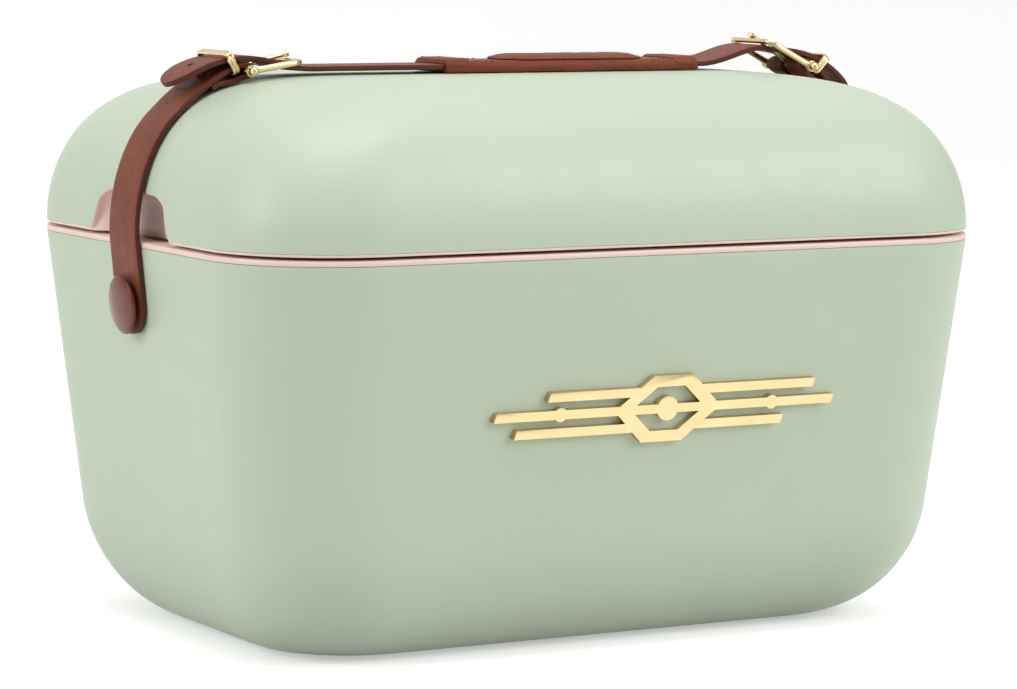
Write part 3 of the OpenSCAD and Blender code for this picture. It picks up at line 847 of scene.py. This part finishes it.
def dense_ends(path, near, both=False):
    """Adds points near rounded ends, so that the outline is smooth."""
    s = lengths(path)
    t = s.copy()
    fine = near * (1 - np.cos(np.linspace(0, math.pi / 2, 16)))
    t = np.concatenate([fine, t[t > near + 0.5]])
    if both:
        t = np.concatenate([t[t < s[-1] - near - 0.5], (s[-1] - fine)[::-1]])
    return at_lengths(t, s, path)


def cut(ob, *parts):
    """Cuts closed tools out of a piece. The cut faces take the painted-edge material."""
    for i, part in enumerate(parts):
        tool = make(f"tool_{ob.name}_{i}", *part, EDGE)
        m = ob.modifiers.new("cut", "BOOLEAN")
        m.operation, m.solver, m.object = "DIFFERENCE", "EXACT", tool
        m.material_mode = "TRANSFER"
        apply_modifiers(ob)
        bpy.data.objects.remove(tool)
    shade(ob, 38)


def prism(outline, z0, z1):
    o = np.asarray(outline, float)
    return stack([np.c_[o, np.full(len(o), z0)], np.c_[o, np.full(len(o), z1)]])


def long_hole(x0, x1, half, steps=10):
    w = np.radians(np.linspace(90, 270, steps + 1))
    left = np.stack([x0 + half + half * np.cos(w), half * np.sin(w)], 1)
    right = np.stack([x1 - half - half * np.cos(w), -half * np.sin(w)], 1)
    return np.vstack([left, right])


def stitches(name, body, runs, mats=THREAD, length=2.3, gap=1.1, r=0.22):
    """Sewn stitches: short bowed threads that dip into the leather, along runs of (point, outward) pairs."""
    parts = []
    for path, out in runs:
        path, out = np.asarray(path, float), np.asarray(out, float)
        s = lengths(path)
        count = int((s[-1] + gap) / (length + gap))
        for i in range(count):
            a = i * (length + gap) + 0.5 * (s[-1] - count * (length + gap) + gap)
            t = np.linspace(a, a + length, 7)
            p, o = at_lengths(t, s, path), at_lengths(t, s, out)
            o /= np.linalg.norm(o, axis=1)[:, None]
            lift = np.sin(np.linspace(0, math.pi, 7)) ** 0.6 * 0.34 - 0.24
            p = p + o * lift[:, None]
            tan = directions(p)
            side = np.cross(tan, o)
            w = np.arange(6) * math.pi / 3
            ring = np.stack([np.cos(w), np.sin(w)], 1)
            size = r * (0.55 + 0.45 * np.sin(np.linspace(0, math.pi, 7)) ** 0.5)
            parts.append(sweep(p, side, o, [ring * k for k in size]))
    ob = make(name, *joined(parts), mats, 60)
    done(ob, body, slot="leather")
    return ob


# ------------------------------------------------------------------ legs of the strap
def leg(side):
    path, main, normal = leg_path(side)
    path = dense_ends(resample(path, 1.3), STRAP_W / 2)
    s = lengths(path)
    verts, faces, mats, uv = ribbon(path, tip_width(s, s[-1]))
    m = SIDE[side]
    verts, faces = moved((verts, faces), m)
    ob = make("strap_leg_" + side, verts, faces, [LEATHER, EDGE], 38, mats, uv)
    body = "strap_" + side
    slot_tool = moved(prism(long_hole(-6, 7, 2.7), -6.5, 6.5), at_bar(side))
    k = len(main) - 7
    t = main[k + 1] - main[k - 1]
    at = m @ shift(main[k][0], 0, main[k][1]) @ rot_y(-math.degrees(math.atan2(t[1], t[0])))
    hole = moved(prism(long_hole(-2.08, 2.08, 2.08), -9, 9), at)
    post = moved(prism(long_hole(-3.05, 3.05, 3.05, 16), -8, 8), on_end(side))
    cut(ob, slot_tool, hole, post)
    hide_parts("leg_" + side, "strap_end_" + side)
    sx = 1 if side == "right" else -1
    x = sx * (wall_x(CREASE) + STAND) * MM
    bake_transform(ob)
    # stitches across the fold, on the outer face: two rows on the left, one on the right
    runs = []
    d = directions(main)
    for k in (len(main) - 8, len(main) - 10) if side == "left" else (len(main) - 8,):
        outward = -normal[k]
        x, z = main[k] + outward * (STRAP_T / 2 + 0.12)
        line, _ = moved(([(x, y, z) for y in np.linspace(-11.5, 11.5, 24)], None), m)
        runs.append((line, np.tile([outward[0], 0, outward[1]], (24, 1)) @ np.array(m.to_3x3()).T))
    stitches("fold_stitches_" + side, body, runs)
    return ob


# ------------------------------------------------------------------ metal of the buckles
def frame_path(r=6.0):
    """Middle line of the frame in its own plane: a side rail, the free bar and the other rail."""
    path = [(x, RAIL) for x in (-1.5, -4, -8, -12, -16, -20)]
    for w in np.radians(np.linspace(0, 90, 9)):
        path.append((-FRAME_L + r - r * math.sin(w), RAIL - r + r * math.cos(w)))
    path += [(-FRAME_L, y) for y in (8, 4, 0)]
    return np.array(path + [(x, -y) for x, y in path[::-1][1:]])


def buckle_frame(side):
    at = at_bar(side)
    p2 = frame_path()
    path = np.c_[p2, np.zeros(len(p2))]
    up = np.tile([0, 0, 1.0], (len(path), 1))
    w = np.radians(np.arange(20) * 18)
    c, s = np.cos(w), np.sin(w)
    outline = []
    for x in p2[:, 0]:
        # the side rails are deeper than the free bar, and swell toward the hinge
        k = smooth((x + FRAME_L) / 9.0)
        a, b = 1.45 + 0.10 * k, 1.3 + 0.4 * k + 0.15 * smooth((x + 9) / 7)
        outline.append(np.stack([a * np.sign(c) * np.abs(c) ** 0.85, b * np.sign(s) * np.abs(s) ** 0.85], 1))
    parts = [moved(sweep(path, np.cross(directions(path), up), up, outline), at @ rot_y(FRAME_TILT))]
    eye = mirrored([(1.66, -1.25), (1.95, -1.6), (2.45, -1.75), (2.95, -1.5), (3.1, -0.9)])
    for s in (-1, 1):
        parts.append(moved(moved(lathe(eye, 40, True), ALONG_Y), at @ shift(0, s * RAIL, 0)))
    ob = make("buckle_frame_" + side, *joined(parts), BRASS, 40)
    done(ob, "strap_" + side, "frame_" + side, slot="pale_brass")


def hinge_bar(side):
    half, ball = RAIL + 3.9, 2.3
    prof = [(0, -half - ball)]
    prof += [(ball * math.sin(rad(a)), -half - ball * math.cos(rad(a))) for a in range(12, 131, 14)]
    prof += [(1.68, -half + 1.75), (BAR_R, -half + 2.1), (BAR_R, -RAIL + 4)]
    bar = moved(lathe(prof + [(BAR_R, 0)] + [(r, -z) for r, z in prof[::-1]], 32), at_bar(side) @ ALONG_Y)
    done(make("buckle_bar_" + side, *bar, BRASS, 40), "strap_" + side, "hinge_bar_" + side, slot="pale_brass")


def prong(side):
    """A rolled ring and a stem that arches a little and rests on the free bar."""
    at = at_bar(side)
    ring = mirrored([(1.66, -1.6), (1.9, -1.95), (2.4, -2.0), (2.75, -1.75), (2.9, -1.2)])
    parts = [moved(lathe(ring, 40, True), at @ ALONG_Y)]
    t = np.linspace(0, 1, 26)
    length, rise, start = FRAME_L + 3.0, rad(14.6), 2.1
    along = start + (length - start) * t
    bow = 0.35 * np.sin(math.pi * np.clip(t * 1.12, 0, 1)) - 0.25 * t**6
    px = -along * math.cos(rise) - bow * math.sin(rise)
    pz = along * math.sin(rise) + bow * math.cos(rise)
    path = np.stack([px, np.zeros(26), pz], 1)
    lateral = np.tile([0, 1.0, 0], (26, 1))
    end = np.sqrt(np.clip(1 - np.clip((along - (length - 1.3)) / 1.3, 0, 0.999) ** 2, 0.0005, 1))
    size = (1.32 - 0.16 * smooth(t * 1.3) + 0.42 * smooth((t - 0.84) / 0.1)) * end
    w = np.radians(np.arange(16) * 22.5)
    outline = [np.stack([k * 1.08 * np.cos(w), k * 0.94 * np.sin(w)], 1) for k in size]
    parts.append(moved(sweep(path, lateral, np.cross(directions(path), lateral), outline), at))
    ob = make("buckle_prong_" + side, *joined(parts), BRASS, 40)
    done(ob, "prong_" + side, "prong_" + side, slot="pale_brass")


def keeper(side):
    """A closed band with two rounded ridges, round the tongue and the leg."""
    wide, low, high = STRAP_W / 2 + 1.5, -3.75, 7.8
    corner = rounded([(-wide, low), (wide, low), (wide, high), (-wide, high)], 3.0, 7)
    closed = []
    for i, p in enumerate(corner):
        q = corner[(i + 1) % len(corner)]
        count = max(1, int(np.linalg.norm(q - p) / 1.5))
        closed += [p + (q - p) * k / count for k in range(count)]
    d = np.roll(closed, -1, 0) - np.roll(closed, 1, 0)
    d /= np.linalg.norm(d, axis=1)[:, None]
    half = 2.1
    x = np.linspace(-half, half, 19)
    crest = 0.2 + 0.5 * np.abs(np.sin(math.pi * (x + half) / half)) ** 0.6
    crest[0] = crest[-1] = -0.25
    below = [(half - 0.15, -0.62), (half - 0.4, -0.8), (0.4 - half, -0.8), (0.15 - half, -0.62)]
    band = np.vstack([np.stack([x, crest], 1), below])
    rings = []
    for p, (dx, dy) in zip(closed, d):
        rings.append(np.stack([band[:, 0], p[0] + band[:, 1] * dy, p[1] - band[:, 1] * dx], 1))
    loop = moved(stack(rings, True), at_bar(side) @ shift(7.5, 0, 2) @ rot_y(26))
    done(make("keeper_loop_" + side, *loop, BRASS, 40), "keeper_" + side, "keeper_" + side, slot="pale_brass")


def button(side):
    """An enamelled cap that stands clear of the leather, on a shoulder and a post."""
    cap = [(0, -10.9), (2.7, -10.9), (3, -10.6), (3, 3.3), (7.6, 3.3), (8, 3.6), (8, 5.35), (13.4, 5.45)]
    cap += [(14.2, 5.6), (14.75, 5.95), (14.98, 6.4), (14.95, 6.95), (14.6, 7.45)]
    crown = (1, 0.93, 0.85, 0.75, 0.62, 0.48, 0.33, 0.18, 0.07)
    cap += [(14.0 * k, 7.78 + 1.37 * (1 - k**2.3)) for k in crown] + [(0, 9.15)]
    ob = make("strap_button_" + side, *moved(lathe(cap, 72), on_end(side)), ENAMEL, 32)
    done(ob, "base", "button_" + side, slot="button_enamel")


# ------------------------------------------------------------------ long strap over the lid
def handle():
    lx, lz = BARS["left"][0]
    drop = bez((lx - 48, LEVEL), (lx - 42, LEVEL), (lx - 36, lz + 0.2), (lx - 30, lz + 0.9), 4)[:4]
    left = np.vstack([drop, tongue("left")])[::-1] * (-1, 1)
    right = tongue("right")
    under = right[0]
    lift = bez((GRIP1 + 2, LEVEL), (GRIP1 + 18, LEVEL), (under[0] - 12, under[1] - 0.4), under, 6)[:6]
    path = np.vstack([left, [(-60, LEVEL), (0, LEVEL), (60, LEVEL), (90, LEVEL)], lift, right])
    path = dense_ends(resample(path, 1.3), STRAP_W / 2, both=True)
    s = lengths(path)
    verts, faces, mats, uv = ribbon(path[::-1], tip_width(s, s[-1], both=True))
    ob = make("strap_over_lid", verts, faces, [LEATHER, EDGE], 38, mats, uv)
    tools = []
    for side in ("left", "right"):
        at = at_bar(side)
        # the long hole for the prong, and a spare hole near the tip
        tools.append(moved(prism(long_hole(-22.9, 0.7, 1.95), -6, 16), at))
        tools.append(moved(prism(long_hole(22.3, 25.7, 1.7), -8, 12), at))
    cut(ob, *tools)
    done(ob, "strap_right", "handle_strap", slot="leather")


# ------------------------------------------------------------------ grip
GRIP_LOW, GRIP_TOP = LEVEL - STRAP_T / 2 - 1.5, LEVEL + STRAP_T / 2 + 1.7


def even(outline, count=64):
    """The same number of even points on any closed outline."""
    o = np.vstack([outline, outline[:1]])
    s = lengths(o)
    return at_lengths(np.linspace(0, s[-1], count + 1)[:-1], s, o)


def placed(outline, x):
    return np.c_[np.full(len(outline), x), outline]


def grip_sleeve():
    """A leather tube round the strap: flat below, its upper edges chamfered, slightly uneven."""
    half, bevel = STRAP_W / 2 + 0.5, 1.9
    z0, z1 = LEVEL - STRAP_T / 2 - 0.3, LEVEL + STRAP_T / 2 + 0.3
    hole = even(rounded([(-half, z0), (half, z0), (half, z1), (-half, z1)], 0.5, 3))
    w, mid = GRIP_W, GRIP_TOP - bevel
    pts = [(-w, GRIP_LOW), (w, GRIP_LOW), (w, mid), (w - bevel, GRIP_TOP), (-w + bevel, GRIP_TOP), (-w, mid)]
    skin = even(rounded(pts, [1.0, 1.0, 0.9, 0.9, 0.9, 0.9], 4))
    xs = [GRIP0, GRIP0 + 0.25, GRIP0 + 0.8, *np.linspace(GRIP0 + 3, GRIP1 - 3, 60)]
    xs += [GRIP1 - 0.8, GRIP1 - 0.25, GRIP1]
    inset = [0.75, 0.25, 0.0] + [0.0] * 60 + [0.0, 0.25, 0.75]
    rng = np.random.default_rng(7)
    wave = np.interp(xs, np.linspace(GRIP0, GRIP1, 12), rng.uniform(-0.14, 0.14, 12))
    rings = []
    for x, k, v in zip(xs, inset, wave):
        o = skin.copy()
        o[:, 0] *= (GRIP_W - k + v * 0.8) / GRIP_W
        o[:, 1] += np.where(o[:, 1] > GRIP_LOW + 1, v * 0.5 - k * 0.8, k * 0.4)
        rings.append(placed(o, x))
    rings += [placed(hole, x) for x in (GRIP1 - 0.1, GRIP1 - 3, 60.0, 0.0, GRIP0 + 3, GRIP0 + 0.1)]
    verts, faces = stack(rings, True)
    uv = np.stack([verts[:, 0], verts[:, 1] + np.where(verts[:, 2] < LEVEL, 80, 0)], 1)
    return make("grip_sleeve_leather", verts, faces, LEATHER, 42, None, uv)


def grip_bands():
    """End bands, folded over the sleeve."""
    bands, ends = [], [0.9, 0.3, 0.08]
    for x in (GRIP0, GRIP1 - 15):
        rings = []
        for t, k in zip(np.linspace(x + 0.6, x + 14.4, 15), ends + [0] * 9 + ends[::-1]):
            w, hem = GRIP_W + 0.25 - 0.35 * k, GRIP_TOP - 3.2
            shoulder, top = GRIP_TOP - 1.2 - 0.4 * k, GRIP_TOP + 1.4 - 0.9 * k
            half = [(w - 2.5, top), (w, shoulder), (w, hem), (w - 1.4, hem), (w - 1.8, GRIP_TOP - 1.2)]
            pts = [(-y, z) for y, z in half[2::-1]] + half + [(-y, z) for y, z in half[:2:-1]]
            q = rounded(pts, [0.5, 1.4, 1.6, 1.6, 1.4, 0.5, 0.3, 0.4, 0.4, 0.3], 4)
            q[:, 1] += np.where(q[:, 1] > GRIP_TOP, 0.12 * (1 - (q[:, 0] / w) ** 2), 0)
            rings.append(placed(q, t))
        bands.append(stack(rings))
    v, f = joined(bands)
    uv = np.stack([v[:, 1], v[:, 0] + 200 + v[:, 2]], 1)
    return make("grip_end_bands", v, f, [LEATHER], 42, None, uv)


def pad(name, x0, x1, half, r, base, height, pinch, mats):
    """A crowned form, pinched at its sewn edge."""
    cx, hx = (x0 + x1) / 2, (x1 - x0) / 2
    plan = Plan(np.linspace(0, 1, 10)[1:-1], np.linspace(0, 1, 26)[1:-1], 12)
    rings = [plan.at(hx - 0.4, half - 0.4, r, base), plan.at(hx, half, r, base + 0.35)]
    seam = 2.0
    for k in np.linspace(0, 1, 16):
        d = k * half * 0.93
        if d > seam:
            rise = pinch + (height - pinch) * (1 - (1 - min(1, (d - seam) / 9.0)) ** 2.2)
        else:
            swell = 0.55 + 0.45 * math.sin(rad(90 * min(1, d / 0.8)))
            rise = pinch * swell - 0.16 * math.exp(-((d - seam) ** 2))
        rings.append(plan.at(hx - d, half - d, max(r - d, 1.5), base + rise))
    v, f = stack(rings)
    v[:, 0] += cx
    # soft unevenness of stuffed leather
    wave = 0.06 * np.sin(v[:, 0] * 0.55 + 1.3) * np.sin(v[:, 1] * 0.7) + 0.05 * np.sin(v[:, 0] * 0.21)
    v[:, 2] += np.where(v[:, 2] > base + 0.5 * height, wave, 0)
    return make(name, v, f, mats, 60, None, np.stack([v[:, 0], v[:, 1] + 140], 1))


def grip_threads():
    """Stitches round the pad, across each end band and along the sleeve's edges."""
    x0, x1, h = GRIP0 + 40.0, GRIP1 - 32.0, 14.5
    loop = rounded([(x0, -h), (x1, -h), (x1, h), (x0, h)], 10.0, 12)
    loop = np.vstack([loop, loop[:1]])
    lines = [np.c_[loop, np.full(len(loop), GRIP_TOP + 1.36)]]
    for x in (GRIP0 + 2.6, GRIP0 + 12.4, GRIP1 - 12.4, GRIP1 - 2.6):
        lines.append(np.array([(x, y, GRIP_TOP + 1.38) for y in np.linspace(-15, 15, 16)]))
    for y in (-16.4, 16.4):
        for a, b in ((GRIP0 + 16, GRIP0 + 36), (GRIP1 - 29, GRIP1 - 16)):
            lines.append(np.array([(x, y, GRIP_TOP + 0.08) for x in np.linspace(a, b, 16)]))
    stitches("grip_stitches", "grip", [(line, np.tile([0, 0, 1.0], (len(line), 1))) for line in lines])


def grip():
    sleeve = grip_sleeve()
    band = grip_bands()
    cover = pad("grip_pad_cover", GRIP0 + 38, GRIP1 - 30, 16.5, 12, GRIP_TOP + 0.05, 3.0, 1.35, LEATHER)
    core = pad("grip_pad_core", GRIP0 + 44, GRIP1 - 36, 12, 9, GRIP_TOP + 0.12, 1.7, 0.9, PAD_FOAM)
    done(sleeve, "grip", "grip_sleeve", slot="leather")
    done(band, "grip", slot="leather")
    done(cover, "grip", "grip_cover", slot="leather")
    done(core, "grip", "grip_core", slot="foam")
    grip_threads()


# ------------------------------------------------------------------ emblem
RAKE, BAR_TALL = 0.34, 4.6


def raked(x0, x1, y, turn=1):
    """A level bar with leaning ends. A turn of -1 turns it half round the emblem's middle."""
    lo, hi = y - BAR_TALL / 2, y + BAR_TALL / 2
    pts = [(x0 + RAKE * lo, lo), (x1 + RAKE * lo, lo), (x1 + RAKE * hi, hi), (x0 + RAKE * hi, hi)]
    return turn * np.array(pts)


def disc(x, r):
    w = np.radians(np.arange(40) * 9)
    return np.stack([x + r * np.cos(w), r * np.sin(w)], 1)


def lozenge(wide, tip, tall):
    """Six corners, the same when turned half round."""
    half = [(-wide, 0), (-tip[0], tall), (tip[1], tall)]
    return np.array(half + [(-x, -y) for x, y in half])


def combine(ob, outline, operation="UNION", z0=EMBLEM_LOW, z1=EMBLEM_TOP):
    tool = make("emblem_tool", *prism(outline, z0, z1), GOLD)
    m = ob.modifiers.new("combine", "BOOLEAN")
    m.operation, m.solver, m.object = operation, "EXACT", tool
    apply_modifiers(ob)
    bpy.data.objects.remove(tool)


def emblem():
    """A lozenge with three raked bars on each side, on two pins."""
    ob = make("emblem_ornament", *prism(lozenge(31, (9, 14.5), 16.8), EMBLEM_LOW, EMBLEM_TOP), GOLD)
    for turn in (1, -1):
        for end, y in ((99, 0), (84, 9), (72, -9)):
            combine(ob, raked(12, end, y, turn))
    combine(ob, lozenge(21.5, (6.6, 9.7), 11.2), "DIFFERENCE", -2, 6)
    combine(ob, raked(-24, 24, 0))
    for x, r in ((0, 6.2), (-PIN_X, 3.6), (PIN_X, 3.6)):
        combine(ob, disc(x, r))
    bevel = ob.modifiers.new("bevel", "BEVEL")
    bevel.width, bevel.segments, bevel.limit_method, bevel.angle_limit = 0.75 * MM, 3, "ANGLE", rad(40)
    apply_modifiers(ob)
    pin = lathe([(0, -5.9), (1.3, -5.9), (1.5, -5.6), (1.5, 1.0), (0, 1.0)], 24)
    pins = make("pins", *joined([moved(pin, shift(x, 0, 0)) for x in (-PIN_X, PIN_X)]), GOLD)
    place = shift(EMBLEM_X, -(B - DRAFT * (BODY_H - EMBLEM_Z)), EMBLEM_Z).to_translation()
    at = shift(*[c * MM for c in place]) @ Matrix.Rotation(rad(90) + math.atan(DRAFT), 4, "X")
    bm = bmesh.new()
    bm.from_mesh(ob.data)
    bm.from_mesh(pins.data)
    bmesh.ops.transform(bm, matrix=at, verts=bm.verts)
    bm.to_mesh(ob.data)
    bm.free()
    bpy.data.objects.remove(pins)
    shade(ob, 28)
    done(ob, "base", "emblem", slot="pale_brass")


for side in ("left", "right"):
    finger_cup(side)
    leg(side)
    buckle_frame(side)
    hinge_bar(side)
    prong(side)
    keeper(side)
    button(side)
handle()
grip()
emblem()

# the CAD nodes that stay get the same materials
slots = {s["node"]: s.get("material_slot") for s in frame["record"].get("subparts", [])}
for name, node in frame["nodes"].items():
    node.data.materials.clear()
    node.data.materials.append(BY_SLOT.get(slots.get(name), STEEL))
    node.data.shade_smooth()
    node.data.set_sharp_from_angle(angle=rad(32))

# ------------------------------------------------------------------ floor, light and camera
FLOOR_DROP, BEND_AT, BEND_R = 0.0004, 3.2, 1.6


def studio_floor():
    """A level floor that bends up into a backdrop. Light that has bounced off something sees it dimmer."""
    edge = [(y, -FLOOR_DROP) for y in (-6, 0, BEND_AT)]
    for a in np.radians(range(10, 91, 10)):
        edge.append((BEND_AT + BEND_R * math.sin(a), BEND_R - BEND_R * math.cos(a)))
    edge.append((BEND_AT + BEND_R, 5.5))
    me = bpy.data.meshes.new("floor")
    verts = [(x, y, z) for y, z in edge for x in (-7.0, 7.0)]
    me.from_pydata(verts, [], [(2 * i, 2 * i + 1, 2 * i + 3, 2 * i + 2) for i in range(len(edge) - 1)])
    me.shade_smooth()
    floor = bpy.data.objects.new("floor", me)
    scene.collection.objects.link(floor)
    n = Nodes("pale_floor")
    w = n.place()
    n.set(
        Base_Color=n.ramp(n.noise(w, 1.5, 2), [(0.3, (0.88, 0.88, 0.875)), (0.7, (0.91, 0.91, 0.905))]),
        Roughness=n.span(n.noise(w, 30), 0.65, 0.8),
        Specular_IOR_Level=0.15,
        Emission_Color=(1.0, 1.0, 1.0, 1.0),
        Emission_Strength=0.42,
    )
    dim = n.add("BsdfDiffuse")
    dim.inputs["Color"].default_value = (0.64, 0.64, 0.63, 1)
    both = n.add("MixShader")
    n.link(n.add("LightPath").outputs["Is Diffuse Ray"], both.inputs[0])
    n.link(n.bsdf.outputs[0], both.inputs[1])
    n.link(dim.outputs[0], both.inputs[2])
    n.link(both.outputs[0], n.out.inputs["Surface"])
    me.materials.append(n.mat)


def studio_glow():
    """A grey world, brighter toward the top."""
    world = bpy.data.worlds.new("studio")
    scene.world = world
    world.use_nodes = True
    tree = world.node_tree
    back = tree.nodes["Background"]
    coord = tree.nodes.new("ShaderNodeTexCoord")
    split = tree.nodes.new("ShaderNodeSeparateXYZ")
    glow = tree.nodes.new("ShaderNodeValToRGB")
    for _ in range(2):
        glow.color_ramp.elements.new(0.5)
    for e, (at, c) in zip(glow.color_ramp.elements, [(0.0, 0.30), (0.25, 0.30), (0.6, 0.75), (1.0, 1.0)]):
        e.position, e.color = at, (c, c, c, 1)
    tree.links.new(coord.outputs["Generated"], split.inputs[0])
    tree.links.new(split.outputs["Z"], glow.inputs[0])
    tree.links.new(glow.outputs[0], back.inputs["Color"])
    back.inputs["Strength"].default_value = 0.86


def area(name, at, look, size, power):
    data = bpy.data.lights.new(name, "AREA")
    data.shape = "RECTANGLE"
    data.size, data.size_y, data.energy = size, size, power
    ob = bpy.data.objects.new(name, data)
    ob.location = at
    ob.rotation_euler = (Vector(look) - Vector(at)).to_track_quat("-Z", "Y").to_euler()
    scene.collection.objects.link(ob)


def view(azimuth, elevation, roll, distance, target):
    """A camera that looks at the target, turned a little about its own axis."""
    az, el = rad(azimuth), rad(elevation)
    forward = Vector((math.sin(az) * math.cos(el), math.cos(az) * math.cos(el), -math.sin(el)))
    data = bpy.data.cameras.new("camera")
    data.sensor_width, data.lens = 36.0, 138.9
    data.shift_x, data.shift_y = 0.0038, -0.0016
    ob = bpy.data.objects.new("camera", data)
    ob.location = Vector(target) - forward * distance
    turn = forward.to_track_quat("-Z", "Y").to_matrix() @ Matrix.Rotation(rad(roll), 3, "Z")
    ob.rotation_euler = turn.to_euler()
    scene.collection.objects.link(ob)
    scene.camera = ob


studio_floor()
studio_glow()
area("key", (1.7, -2.2, 1.5), (0, 0, 0.15), 1.5, 38)
area("left_soft", (-2.6, 0.1, 1.2), (0, 0, 0.17), 1.4, 28)
area("overhead", (-0.1, -0.35, 2.3), (0, 0, 0.2), 1.5, 17)
view(29.58, 6.235, 0.5, 2.088, (0, 0, 0.1428))
scene.view_settings.view_transform = "Standard"
